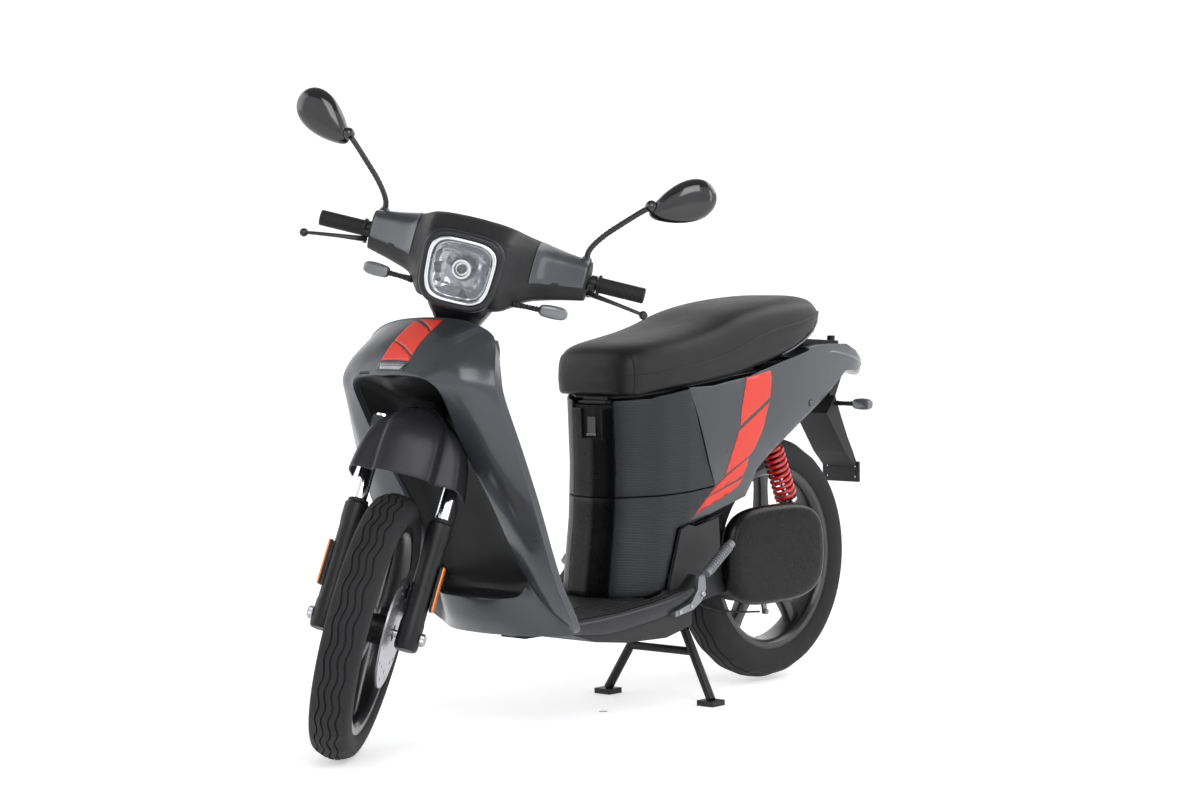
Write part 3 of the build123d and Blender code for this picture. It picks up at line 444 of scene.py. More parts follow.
# ---- leg shield ----
SHIELD_RIBS = [
    ((0, -290, 206), (0, -318, 240), (0, -338, 284)),
    ((70, -281, 206), (70, -308, 240), (70, -329, 284)),
    ((125, -258, 206), (118, -282, 243), (108, -306, 288)),
    ((178, -222, 210), (150, -250, 252), (117, -290, 306)),
    ((200, -246, 240), (162, -264, 262), (118, -283, 318)),
    ((208, -290, 300), (164, -304, 318), (118, -308, 350)),
    ((218, -334, 376), (172, -340, 380), (118, -334, 392)),
    ((226, -385, 486), (175, -398, 488), (118, -394, 492)),
    ((222, -431, 600), (174, -462, 600), (119, -470, 602)),
    ((209, -463, 698), (170, -502, 692), (121, -516, 684)),
    ((198, -461, 745), (166, -515, 731), (117, -535, 716)),
    ((178, -437, 790), (152, -508, 765), (102, -546, 733)),
    ((163, -428, 818), (124, -505, 785), (80, -551, 741)),
    ((128, -430, 837), (92, -500, 798), (50, -553, 744)),
    ((78, -429, 848), (50, -500, 803), (25, -554, 745)),
    ((0, -428, 852), (0, -497, 806), (0, -554, 745)),
]
SHIELD_SPINE = [(-274, 292), (-268, 294), (-266, 298), (-264, 306), (-268, 322), (-280, 350), (-300, 392),
                (-342, 492), (-398, 610), (-420, 660), (-445, 682), (-475, 694), (-505, 702), (-530, 712),
                (-545, 722), (-551, 730)]


def shield_columns(index):
    """One rib of the painted shield, from its outer return to its inner return."""
    outer, mid, inner = (np.array(point, float) for point in SHIELD_RIBS[index])
    top = max(0.0, min(1.0, (index - 10) / 2))
    low = max(0.0, min(1.0, (3 - index) / 2))
    outward = np.array([0.0, 1.0, 0.0]) * (1 - top) + np.array([0.0, 0.25, -1.0]) * top
    inward = np.array([-0.25, 1.0, 0.0]) * (1 - top) * (1 - low)
    inward += np.array([0.0, 0.85, -0.5]) * top + np.array([0.0, 1.0, 0.08]) * low
    if outer[0] == 0:
        inward[0] = 0.0
    return [outer + outward * 20, outer + outward * 4, outer * 0.93 + mid * 0.07, mid,
            mid * 0.08 + inner * 0.92, inner + inward * 4, inner + inward * 12]


def around(left):
    """Ribs or points of the left side and their mirror images, as a closed ring."""
    return left + [flip(item) for item in left[-2:0:-1]]


def across_middle(row):
    """A row from the left side to the middle, carried on to the right side."""
    return list(row) + [flip(point) for point in row[-2::-1]]


shield_ring = around([shield_columns(index) for index in range(len(SHIELD_RIBS))])
shield_net = Net(np.transpose(np.array(shield_ring), (1, 0, 2)), closed=True)
woven("leg_shield_paint", shield_net, (6, 6), *CHASSIS, "painted_p", inside=(0, -200, 500), thick=3.0,
      stands_for=["leg_shield"])


def panel_columns(index):
    """One rib of the black recess, from the painted edge to the middle."""
    edge = shield_columns(index)[6]
    y, z = SHIELD_SPINE[index]
    rib = []
    for across, depth, drop in ((1.0, 0.0, 0.0), (0.93, 0.3, 0.12), (0.78, 0.72, 0.4), (0.5, 0.95, 0.8),
                                (0.0, 1.0, 1.0)):
        rib.append(np.array([edge[0] * across, edge[1] + (y - edge[1]) * depth,
                             edge[2] + (z - edge[2]) * drop]))
    return rib


panel_net = Net([across_middle(panel_columns(index)) for index in range(len(SHIELD_RIBS))])
woven("recess_panel", panel_net, (5, 5), *CHASSIS, "moulding", inside=(0, -100, 500), thick=2.5,
      stands_for=["shield_panel"])


def shield_spot(u, x):
    """Net coordinates on the hood at a given distance from the middle plane."""
    low, high = 11.0, 19.0
    for _ in range(40):
        middle = (low + high) / 2
        if shield_net.at([(u, middle)])[0][0] > x:
            low = middle
        else:
            high = middle
    return (u, (low + high) / 2)


def hood_piece(name, corners, look, lift, **more):
    """A patch on the hood between corners given as (u, x)."""
    outline = []
    for index, (u, x) in enumerate(corners):
        next_u, next_x = corners[(index + 1) % len(corners)]
        for step in range(6):
            t = step / 6
            outline.append(shield_spot(u + (next_u - u) * t, x + (next_x - x) * t))
    region(name, shield_net.at, outline, (0.1, 0.1), *CHASSIS, look, lift=lift, inside=(0, -300, 600),
           thick=0.5, **more)


hood_piece("hood_stripe_low", [(3.58, -38), (3.58, 38), (3.45, 38), (2.97, -38)], "stripe", 0.7)
hood_piece("hood_stripe_mid", [(2.93, -38), (3.41, 38), (2.62, 38), (2.11, -38)], "stripe", 0.7)
hood_piece("hood_stripe_top", [(2.02, -30), (2.58, 38), (2.02, 38)], "stripe", 0.7)
hood_piece("nose_lamp_frame", [(3.66, -42), (3.66, 42), (3.95, 38), (3.95, -38)], "gloss", 0.9)
hood_piece("nose_lamp", [(3.7, -34), (3.7, 34), (3.91, 27), (3.91, -27)], "lamp_silver", 1.8)

# The vent slits are flat near-black patches on the hood: painted shade inside the openings.
for index in range(3):
    low = 3.98 + 0.09 * index
    vent = [(low, -84), (low + 0.03, -54), (low + 0.06, -54), (low + 0.03, -84)]
    hood_piece("nose_vent_%d" % index, vent, "gap", 0.6)

lid_rows = []
for rib in (11, 12, 13, 14, 15):
    edge = shield_columns(rib)[0]
    middle = np.array([edge[0] * 0.8, -396, min(812.0, edge[2] + 10)])
    lid_rows.append([edge, edge + [-0.06 * edge[0], 13, -4], middle])
woven("shield_lid", Net(across_middle(lid_rows)), (4, 4), *CHASSIS, "moulding", inside=(0, -450, 600),
      thick=2.0)

# Rider's side of the shield: height, the painted edge it meets, and the depth at the middle.
INNER_LEVELS = [(228, 180, -214, -212), (262, 200, -232, -218), (318, 206, -276, -240),
                (376, 212, -308, -262), (486, 220, -359, -300), (600, 216, -405, -350),
                (698, 203, -437, -388), (745, 192, -436, -386), (786, 172, -414, -380),
                (806, 156, -404, -378)]
inner_rows = []
for z, edge_x, edge_y, middle_y in INNER_LEVELS:
    half = [(edge_x - 2, edge_y - 8, z), (edge_x - 9, min(edge_y + 5, middle_y - 6), z),
            (edge_x * 0.88, min(edge_y + 20, middle_y - 5), z),
            (edge_x * 0.72, min(edge_y + 44, middle_y - 4), z), (96, middle_y - 2, z), (36, middle_y, z),
            (29, middle_y + 20, z), (16, middle_y + 27, z), (0, middle_y + 28, z)]
    inner_rows.append(across_middle(half))
woven("inner_cover", Net(inner_rows), (5, 4), *CHASSIS, "moulding", inside=(0, -700, 500), thick=3.0,
      stands_for=["inner_shield"])
spun("key_lock_ring", [(0, 7.4), (0, 16), (22, 16), (26, 13), (26, 7.4)], (-125, -398, 700), (0, 1, 0),
     *CHASSIS, "steel_al", caps=False)

# ---- column, side panels and tail ----
FRONT_AT = ((264, 322, 406, 520, 664, 700), (26, 34, 46, 52, 46, 44))
PLAN_Y = (180, 300, 450, 620, 790, 900, 945, 1010)
PLAN_X = (147, 150, 146, 132, 106, 83, 64, 30)
COLUMN_PLAN = [(0, 0), (60, 12), (104, 48), (132, 92), (146, 150)]
plan_curve = curve_points([(x, y, 0) for x, y in COLUMN_PLAN], 12)
plan_length = np.concatenate([[0], np.cumsum(np.linalg.norm(np.diff(plan_curve, axis=0), axis=1))])
ROUND_LENGTH = plan_length[-1]
plan_line = curve_points([(x, y, 0) for x, y in zip(PLAN_X, PLAN_Y)], 8)


def front_at(z):
    return np.interp(z, *FRONT_AT)


def plan_x(y):
    return np.interp(y, plan_line[:, 1], plan_line[:, 0])


def column_surface(tz):
    """The seat column by distance round its plan from the middle, and height."""
    t, z = tz[:, 0], tz[:, 1]
    side = np.abs(t)
    front = front_at(z)
    x = np.interp(side, plan_length, plan_curve[:, 0])
    y = front + np.interp(side, plan_length, plan_curve[:, 1])
    past = np.maximum(side - ROUND_LENGTH, 0)
    y = y + past
    x = np.where(past > 0, np.minimum(146 + past * 0.03, 149.0), x)
    return np.stack([x * np.sign(t + 1e-9), y, z], 1)


def unrolled(y, z):
    """Distance round the column for a point on its flat side."""
    return ROUND_LENGTH + y - (float(front_at(z)) + 150)


def side_surface(yz):
    """The side of the machine behind the column, by length and height."""
    y, z = yz[:, 0], yz[:, 1]
    middle = np.interp(y, (200, 420, 620, 940), (560, 600, 670, 712))
    fall = np.clip(np.abs(z - middle) - 20, 0, None)
    return np.stack([plan_x(y) - 0.0006 * fall**2, y, z], 1)


def tz_outline(points):
    """Column outline from (y, z) points on the side and ("t", t, z) points on the front."""
    made = []
    for point in points:
        made.append((point[1], point[2]) if point[0] == "t" else (unrolled(*point), point[1]))
    return made


COLUMN_CELL = (12.0, 24.0)
BODY_INSIDE = (0, 300, 500)
upper_cover = tz_outline([("t", 59, 461), ("t", 59, 664), ("t", 140, 668), (120, 672), (208, 686), (222, 646),
                          (239, 596), (265, 519), (284, 475), (200, 468), (120, 464)])
lower_cover = tz_outline([("t", 59, 250), ("t", 59, 457), (120, 460), (200, 464), (284, 471), (240, 436),
                          (192, 399), (165, 391), (126, 268), ("t", 140, 252)])
region("column_upper", column_surface, upper_cover, COLUMN_CELL, *CHASSIS, "ribbed", inside=BODY_INSIDE,
       mirror=True, thick=3.0, bevel=0.8, stands_for=["column_cover"])
region("column_lower", column_surface, lower_cover, COLUMN_CELL, *CHASSIS, "ribbed", inside=BODY_INSIDE,
       mirror=True, thick=3.0, bevel=0.8)
strip = [(-57.5, 250), (57.5, 250), (57.5, 457), (-57.5, 457)]
region("column_gloss_low", column_surface, strip, (8.0, 20.0), *CHASSIS, "cover", inside=BODY_INSIDE,
       thick=3.0, bevel=0.8, stands_for=["column_front"])
strip = [(-57.5, 460), (57.5, 460), (57.5, 648), (27, 648), (27, 584), (-27, 584), (-27, 648), (-57.5, 648)]
region("column_gloss_high", column_surface, strip, (8.0, 20.0), *CHASSIS, "cover", inside=BODY_INSIDE,
       thick=3.0, bevel=0.8)

# A near-black sheet set 5.5 mm inside the column covers: painted shade, seen through the seams between them.
shade_liner = tz_outline([("t", 0, 246), (118, 250), (158, 388), (236, 436), (288, 474), (244, 596), (214, 682),
                    (130, 657), ("t", 0, 654)])
region("column_shade_liner", column_surface, shade_liner, COLUMN_CELL, *CHASSIS, "gap", lift=-5.5, inside=BODY_INSIDE,
       mirror=True, thick=2.0)

PANEL_OUTLINE = [(210, 688), (242, 597), (268, 520), (289, 474), (198, 400), (224, 397), (298, 417),
                 (406, 442), (424, 468), (440, 497), (480, 524), (524, 547), (618, 593), (732, 644),
                 (842, 700), (900, 700), (938, 697), (943, 720), (900, 745), (847, 762), (760, 765),
                 (700, 764), (650, 750), (569, 736), (459, 714), (423, 705), (350, 697), (289, 689)]
PANEL_CELL = (18.0, 18.0)
region("side_panel", side_surface, PANEL_OUTLINE, PANEL_CELL, *CHASSIS, "painted_p", inside=(0, 500, 600),
       mirror=True, thick=3.0, bevel=0.8, stands_for=["side_panels"])
# A near-black sheet set 6 mm inside the side panels: painted shade, seen through the seams round them.
SIDE_SHADE_LINER = [(196, 684), (226, 597), (250, 520), (272, 474), (184, 404), (226, 404), (298, 424), (412, 450),
              (446, 502), (524, 554), (618, 600), (732, 650), (842, 706), (930, 706), (930, 718), (847, 756),
              (700, 757), (569, 730), (459, 708), (350, 691), (289, 684)]
region("side_shade_liner", side_surface, SIDE_SHADE_LINER, PANEL_CELL, *CHASSIS, "gap", lift=-6.0, inside=(0, 500, 600),
       mirror=True, thick=2.0)
STRIPES = [
    [(405, 701), (495, 714), (499, 700), (490, 655), (374, 598), (382, 640)],
    [(371, 588), (486, 645), (462, 588), (428, 545), (413, 533), (322, 494), (345, 540)],
    [(318, 487), (406, 527), (404, 512), (388, 488), (268, 452), (280, 462), (296, 474)],
    [(262, 448), (392, 484), (370, 464), (340, 452), (240, 420), (222, 410)],
]
for index, outline in enumerate(STRIPES):
    region("side_stripe_%d" % index, side_surface, outline, (12.0, 12.0), *CHASSIS, "stripe", lift=0.7,
           inside=(0, 400, 600), mirror=True, thick=0.5)

PLUG_Y = 662
PLUG_Z = 634
# The wider ring under each plug is near-black: painted shade in the seam round the plug.
for radius, look, lift in ((8.0, "gap", 0.5), (6.0, "painted_p", 1.2)):
    outline = [(PLUG_Y + radius * c, PLUG_Z + radius * s) for c, s in round_points(20)]
    region("panel_plug_" + look, side_surface, outline, (6.0, 6.0), *CHASSIS, look, lift=lift,
           inside=(0, 400, 600), mirror=True, thick=0.6)

SHADE_OUTLINE = [(128, 263), (128, 272), (168, 388), (194, 397), (221, 390), (296, 404), (336, 412),
                 (318, 384), (306, 350), (296, 332), (226, 262), (205, 292), (192, 300), (172, 296),
                 (160, 272)]
# This moulding takes the darker, duller cover finish: painted shade for the recess under the side panel.
region("lower_side_cover", side_surface, SHADE_OUTLINE, (14.0, 14.0), *CHASSIS, "cover", lift=-3.0,
       inside=(0, 260, 300), mirror=True, thick=3.0, bevel=0.8)

TAIL_LOW = [(428, 474), (440, 497), (524, 547), (618, 593), (732, 644), (842, 700), (938, 694)]
facet_rows = []
for y, z in TAIL_LOW:
    x = float(side_surface(np.array([[y, z]], float))[0][0])
    facet_rows.append([(x - 1, y, z + 1), (x - 5, y + 2, z - 3), (x - 18, y + 5, z - 9),
                       (x - 30, y + 7, z - 9)])
for side, hand in SIDES:
    woven("tail_underside_" + hand, Net(np.array(facet_rows) * [side, 1, 1]), (4, 3), *CHASSIS, "painted_p",
          inside=(0, 600, 700), thick=2.0)

tail_rows = []
for y, half, high, low in ((700, 100, 760, 736), (760, 106, 764, 742), (850, 93, 757, 728),
                           (900, 81, 748, 718), (943, 64, 738, 706), (966, 50, 731, 704),
                           (980, 36, 726, 705), (986, 20, 720, 708)):
    half_ring = [(half * 0.96, y, low), (half, y, (high + low) / 2), (half * 0.9, y, high - 3),
                 (half * 0.5, y, high + 2), (0, y, high + 3)]
    tail_rows.append(across_middle(half_ring) + [(0, y, low)])
woven("tail_top", Net(tail_rows, closed=True), (4, 3), *CHASSIS, "painted_p", caps=True,
      stands_for=["tail_cover"])
lamp_rows = []
for y, grow in ((972, 1.0), (984, 1.0), (989, 0.8), (991, 0.4)):
    box = rounded([(-1, -1), (1, -1), (1, 1), (-1, 1)], 0.5, 3)
    lamp_rows.append([(27 * grow * x, y, 711 + 7 * grow * z) for x, z in box])
woven("tail_lens", Net(lamp_rows, closed=True), (3, 1), *CHASSIS, "red_lens", caps=True, angle=50,
      stands_for=["tail_lamp"])

# ---- floor ----
FLOOR_LINE = ((-222, -194, -83, 46, 145, 173, 185), (232, 236, 238, 249, 266, 292, 300))


def floor_surface(xy):
    x, y = xy[:, 0], xy[:, 1]
    z = np.interp(y, *FLOOR_LINE)
    drop = np.clip(np.abs(x) - 176, 0, None)
    return np.stack([x, y, z - 0.05 * drop**2], 1)


FLOOR_INSIDE = (0, 0, 0)
floor_half = [(0, -222), (120, -222), (188, -212), (190, -80), (190, 120), (188, 150), (181, 176), (160, 176),
              (157, 120), (150, 60), (0, 60)]
floor_outline = floor_half + [(-x, y) for x, y in floor_half[-2:0:-1]]
region("floor_top", floor_surface, floor_outline, (12.0, 14.0), *CHASSIS, "moulding", inside=FLOOR_INSIDE,
       thick=8.0, bevel=2.0, stands_for=["footboard"])
for index in range(9):
    x = 62 + index * 13.5
    rib = [(x - 3, -196), (x + 3, -196), (x + 3, 96 if x > 150 else 20), (x - 3, 96 if x > 150 else 20)]
    region("floor_rib_%d" % index, floor_surface, rib, (3.0, 20.0), *CHASSIS, "rubber", lift=2.2,
           inside=FLOOR_INSIDE, mirror=True, thick=2.4, bevel=0.8)

skirt_rows = []
for y, top, low in ((-222, 232, 208), (-150, 233, 198), (-83, 236, 196), (46, 247, 208), (110, 256, 222),
                    (160, 270, 240)):
    skirt_rows.append([(186, y, top), (190, y, top - 6), (188, y, (top + low) / 2), (180, y, low + 4),
                       (172, y, low)])
for side, hand in SIDES:
    woven("floor_skirt_" + hand, Net(np.array(skirt_rows) * [side, 1, 1]), (5, 4), *CHASSIS, "satin",
          inside=(0, 0, 220), thick=2.5)

# ---- seat ----
# Length, half width, and the heights of the underside, the side and the top.
SEAT = [
    (48, 50, 688, 712, 736), (52, 78, 681, 712, 752), (62, 98, 676, 712, 768), (80, 112, 675, 716, 778),
    (110, 122, 678, 720, 786), (170, 132, 683, 728, 795), (250, 137, 690, 740, 808), (320, 138, 697, 754, 824),
    (390, 138, 706, 772, 845), (450, 137, 720, 792, 858), (520, 135, 735, 806, 868), (606, 130, 758, 816, 875),
    (670, 120, 785, 824, 876), (710, 108, 806, 830, 872), (742, 92, 824, 838, 862), (756, 66, 832, 840, 852),
]
seat_rows = []
for y, half, low, side, high in SEAT:
    left = [(0, y, high + 1), (half * 0.45, y, high), (half * 0.78, y, high - 7), (half * 0.95, y, high - 24),
            (half, y, side), (half * 0.985, y, (side + low) / 2), (half * 0.93, y, low + 3),
            (half * 0.6, y, low)]
    seat_rows.append(around(left + [(0, y, low)]))
seat_net = Net(seat_rows, closed=True)
cushion = woven("seat_vinyl", seat_net, (5, 4), "body", "seat", "seat", caps=True,
                stands_for=["seat_cushion"])

crease = [(1.6 + 13.0 * step / 24, 3.75 + 0.35 * math.sin(math.pi * step / 24)) for step in range(25)]
corner = [(2.6, 2.6 + 3.6 * step / 10) for step in range(11)]
for line, word in ((crease, "side_seam"), (corner, "corner_seam")):
    points = seat_net.at(line)
    for side, hand in SIDES:
        swept("%s_%s" % (word, hand), points * [side, 1, 1], [1.5] * len(points), "body", "seat", "seat",
              steps=2, sides=8)

lip_rows = []
for y, half, z in ((560, 128, 742), (620, 122, 758), (690, 108, 782), (736, 92, 806), (760, 78, 822),
                   (772, 66, 836)):
    lip_rows.append(across_middle([(half, y, z + 4), (half * 0.9, y, z), (half * 0.5, y, z - 2),
                                   (0, y, z - 3)]))
woven("seat_lip", Net(lip_rows), (4, 4), "body", "seat", "gloss", inside=(0, 700, 900), thick=4.0)

# ---- wheels ----
def wheel_tyre(name, hub, outer, half, where, body, waves, grooves, swing, node):
    """A tyre with wavy grooves whose columns follow the waves."""
    shoulder_r = outer - 0.32 * half
    shoulder = 0.86 * half
    mid_r = 203 + 0.5 * (shoulder_r - 203)
    side = curve_points([(0.62 * half, 203, 0), (0.86 * half, 211, 0), (half, mid_r, 0),
                         (0.97 * half, shoulder_r - 9, 0), (shoulder, shoulder_r, 0)], 4)
    tread = sorted(set(np.round(np.linspace(-shoulder + 3, shoulder - 3, 19), 2)))
    columns = [(x, 0.0) for x in tread if all(abs(x - groove) > 3.2 for groove in grooves)]
    for groove in grooves:
        columns += [(groove - 1.9, 0.0), (groove - 1.4, 4.0), (groove + 1.4, 4.0), (groove + 1.9, 0.0)]
    columns.sort()
    segments = waves * 20
    profile = [(-x, r, 0.0, 0.0) for x, r, _ in side]
    for x, depth in columns:
        share = 1 - (abs(x) / shoulder) ** 4
        profile.append((x, outer - (outer - shoulder_r) * (x / shoulder) ** 2, depth, share))
    profile += [(x, r, 0.0, 0.0) for x, r, _ in side[::-1]]
    angles = 2 * math.pi * np.arange(segments) / segments
    points = []
    for x, radius, depth, share in profile:
        moved = x + swing * share * np.sin(waves * angles)
        on_sipe = np.arange(segments) % 20 == (5 if x > 0 else 15)
        sipe = np.where(on_sipe & (abs(x) > 0.55 * half) & (share > 0.05), 1.8, 0)
        r = radius - depth - sipe
        points.append(np.stack([hub[0] + moved, hub[1] + r * np.cos(angles), hub[2] + r * np.sin(angles)], 1))
    points = np.concatenate(points)
    faces = quads(len(profile), segments, looped=True)
    return make(name, points, faces, where, body, "tyre", angle=32, stands_for=[node])


wheel_tyre("front_tyre_tread", FRONT_HUB, 264.3, 41.0, "fork", "front_wheel", 24, (-20, -7, 7, 20), 3.2,
           "front_tyre")
wheel_tyre("rear_tyre_tread", REAR_HUB, 275.0, 46.0, "body", "rear_wheel", 22, (-24, -8, 8, 24), 3.2,
           "rear_tyre")


def wheel_rim(name, hub, half, hub_half, hub_r, where, body, node):
    """Rim, hub and five tapered spokes."""
    lip = half * 0.78
    ring = [(-lip, 196), (-lip - 1, 203), (-lip, 209), (-lip + 3, 209), (-lip + 5, 202), (lip - 5, 202),
            (lip - 3, 209), (lip, 209), (lip + 1, 203), (lip, 196), (lip - 6, 190), (lip - 14, 187),
            (14 - lip, 187), (6 - lip, 190), (-lip, 196)]
    spun(name, ring, hub, (1, 0, 0), where, body, "rim", sides=120, caps=False, angle=28, stands_for=[node])
    edge = [(lip + 0.4, 203), (lip + 1.3, 206), (lip + 0.9, 209.3), (lip - 0.6, 209.6), (lip + 0.4, 203)]
    spun(name + "_edge", edge, hub, (1, 0, 0), where, body, "steel_al", sides=120, caps=False)
    core = [(-hub_half, hub_r * 0.45), (-hub_half, hub_r * 0.8), (3 - hub_half, hub_r), (-12, hub_r),
            (-9, hub_r * 1.12), (9, hub_r * 1.12), (12, hub_r), (hub_half - 3, hub_r),
            (hub_half, hub_r * 0.8), (hub_half, hub_r * 0.45)]
    spun(name + "_hub", core, hub, (1, 0, 0), where, body, "rim", sides=64, angle=28)
    for turn in range(5):
        angle = 2 * math.pi * turn / 5 + math.pi / 2
        out = np.array([0, math.cos(angle), math.sin(angle)])
        across = np.array([0, -math.sin(angle), math.cos(angle)])
        rows = []
        for r, thick, wide in ((hub_r * 0.8, 16, 25), (70, 15, 20), (120, 13, 15), (165, 12, 14),
                               (191, 12, 19)):
            section = [(-thick, -wide), (thick, -wide), (thick, wide), (-thick, wide)]
            centre = np.array(hub) + out * r
            rows.append([centre + across * w + np.array([x, 0, 0]) for x, w in rounded(section, 5, 2)])
        woven(name + "_spoke_%d" % turn, Net(rows, closed=True), (3, 1), where, body, "rim", angle=30)


wheel_rim("front_rim_cast", FRONT_HUB, 41.0, 46, 30, "fork", "front_wheel", "front_rim")
wheel_rim("rear_rim_cast", REAR_HUB, 46.0, 40, 55, "body", "rear_wheel", "rear_rim")

# ---- fork ----
LEG_PROFILE = [(-28, 14), (-28, 19), (-25, 22.5), (-18, 24), (26, 24), (34, 22.5), (180, 22.5), (200, 24.5),
               (228, 24.5), (232, 21), (232, 15.6), (226, 15.6)]
for side, word in SIDES:
    spun("fork_leg_" + word, LEG_PROFILE, (side * FORK_X, FORK_BACK, 280), (0, 0, 1), *LOWER_FORK, "leg",
         angle=28, stands_for=["fork_legs"] if side > 0 else ())
    spun("dust_seal_" + word, [(0, 15.3), (0, 21), (7, 20), (9, 15.3)], (side * FORK_X, FORK_BACK, 511),
         (0, 0, 1), *LOWER_FORK, "rubber")
    box = rounded([(-12, 337), (12, 337), (12, 428), (-12, 428)], 5, 3)
    plate = [(side * 117.5, FORK_BACK + q, s) for q, s in box]
    back = [(side * 109.5, q, s) for _, q, s in plate]
    rows = [[(side * 114, q, s) for _, q, s in plate], plate]
    woven("reflector_" + word, Net(rows, closed=True), (1, 1), *LOWER_FORK, "amber", caps=True, bevel=1.0,
          stands_for=["fork_reflectors"] if side > 0 else ())
    woven("reflector_back_" + word, Net([back, rows[0]], closed=True), (1, 1), *LOWER_FORK, "moulding",
          caps=True, bevel=0.6)
    bolt("axle_nut_" + word, (side * 110, FORK_BACK, FRONT_HUB[2]), (side, 0, 0), 12, *LOWER_FORK)

fender_rows = []
for s, hang, half, centre, front, lobe, rear in (
        (717, 0, 14, 9, -66, -60, -50), (713, 0, 36, 24, -86, -70, -40), (700, 0, 56, 40, -104, -82, -30),
        (672, 0, 86, 54, -130, -92, -14), (640, 0, 104, 60, -146, -98, -4), (600, 2, 112, 62, -150, -101, -2),
        (566, 6, 116, 62, -151, -103, -2)):
    half_line = [(half, rear, 0), (half, (rear + lobe) * 0.55, 0), (half - 8, lobe + 6, 0),
                 (half - 20, lobe - 4, 0), (centre + 6, lobe - 8, 0.2), (centre, lobe - 14, 0.6),
                 (centre - 5, front + 8, 1), (centre - 14, front, 1), (centre * 0.4, front - 5, 1),
                 (0, front - 6, 1)]
    fender_rows.append(across_middle([(x, q, s - hang * drop) for x, q, drop in half_line]))
woven("fender_shell", Net(fender_rows), (5, 4), *UPPER_FORK, "satin", inside=(0, -20, 560), thick=3.0,
      bevel=0.8, stands_for=["front_fender"])
spun("stem_shroud", [(0, 34), (0, 38), (30, 38), (34, 35), (34, 20)], (0, -22, 700), (0, 0, 1), *UPPER_FORK,
     "leg")

# ---- bars ----
COWL_X = (0, 50, 78, 92, 122, 170, 228)
COWL = [
    [(-436, 884), (-474, 925), (-462, 1030), (-400, 1060), (-300, 1046), (-236, 985), (-250, 922),
     (-340, 876)],
    [(-434, 885), (-471, 925), (-460, 1028), (-398, 1058), (-298, 1044), (-235, 985), (-249, 922),
     (-339, 877)],
    [(-430, 888), (-464, 925), (-452, 1024), (-392, 1054), (-296, 1040), (-232, 985), (-248, 924),
     (-335, 880)],
    [(-408, 895), (-434, 930), (-424, 1020), (-376, 1049), (-290, 1037), (-230, 985), (-244, 925),
     (-322, 887)],
    [(-346, 915), (-364, 950), (-348, 1010), (-320, 1034), (-268, 1030), (-214, 985), (-226, 932),
     (-290, 905)],
    [(-304, 924), (-320, 954), (-309, 1005), (-287, 1022), (-246, 1018), (-207, 982), (-216, 938),
     (-264, 918)],
    [(-268, 932), (-281, 958), (-274, 1000), (-256, 1012), (-226, 1008), (-200, 980), (-206, 945),
     (-240, 930)],
]
cowl_rows = [[(x, y, z) for y, z in rounded(line, 14, 3)] for x, line in zip(COWL_X, COWL)]
cowl_net = Net([flip(row) for row in cowl_rows[:0:-1]] + cowl_rows, closed=True)
LAMP_Z = 956.0


def outside_lamp(point):
    """Whether a point of the cowl lies outside the opening for the headlight."""
    x, y, z = point
    return not (y < -425 and (abs(x) / 62) ** 4 + (abs(z - LAMP_Z) / 58) ** 4 < 1)


woven("cowl_shell", cowl_net, (6, 2), *BARS, "moulding", caps=True, keep=outside_lamp, angle=50,
      stands_for=["headlight_cowl", "dash_cover"])
cover = [(10.02, 5.6), (11.92, 5.6), (11.92, 18.5), (10.25, 18.5), (10.02, 12.0)]
region("cowl_cover", cowl_net.at, cover, (0.16, 0.5), *BARS, "painted_p", lift=1.6,
       inside=(170, -250, 975), mirror=True, thick=1.6, bevel=0.5, stands_for=["cowl_side_covers"])
plug = [(11.0 + 0.16 * c, 5.75 + 0.5 * s) for c, s in round_points(6)]
region("cover_plug", cowl_net.at, plug, (0.1, 0.2), *BARS, "moulding", lift=2.6, inside=(170, -250, 975),
       mirror=True, thick=2.0, bevel=0.4)


def lamp_ring(grow, forward, sides=72):
    """The headlight's rounded outline, grown outward and moved forward from its sloping face."""
    ring = []
    for c, s in round_points(sides):
        x = (68 + grow) * squared(c, 0.56)
        z = (64 + grow) * squared(s, 0.56)
        x *= 1 + 0.06 * z / 64
        ring.append((x, -474 + (z + 64) * 0.09 - forward, LAMP_Z + z))
    return ring


surround = [(13, -14), (12, -2), (8, 4), (2, 5), (0, 2), (-1, -8)]
bezel = [(0, -2), (0, 5), (-3, 8), (-7, 6), (-9, 0), (-9, -8)]
for name, rings, look, nodes in (("lamp_surround", surround, "satin", ()),
                                 ("lamp_bezel", bezel, "chrome_p", ["headlight_bezel"])):
    net = Net([lamp_ring(grow, forward) for grow, forward in rings], closed=True)
    woven(name, net, (3, 1), *BARS, look, inside=(0, -430, LAMP_Z), angle=60, stands_for=nodes)


def lamp_dome(steps, forward, bulge):
    """Rings from the lamp's edge to its middle, bulging forward."""
    rows = []
    for step in range(steps + 1):
        share = step / steps
        ring = np.array(lamp_ring(-9.5, forward), float)
        middle = ring.mean(0)
        ahead = np.array([0, -bulge * (1 - (1 - share) ** 2), 0])
        rows.append(middle + (ring - middle) * max(1 - share, 0.002) + ahead)
    return rows


woven("lamp_lens", Net(lamp_dome(8, 2, 9), closed=True), (1, 1), *BARS, "lens", inside=(0, -400, 956),
      thick=1.5, stands_for=["headlight_lens"])
woven("lamp_bowl", Net(lamp_dome(8, -6, -34), closed=True), (2, 1), *BARS, "reflector",
      inside=(0, -600, 956), thick=1.0, stands_for=["headlight_reflector"])
spun("lamp_bulb_cup", [(0, 20), (12, 19), (12, 15), (3, 13)], (0, -440, 958), (0, -1, 0), *BARS, "chrome_p")
spun("lamp_bulb", [(0, 9), (16, 9), (20, 6), (21, 0.1)], (0, -440, 958), (0, -1, 0), *BARS, "leg")

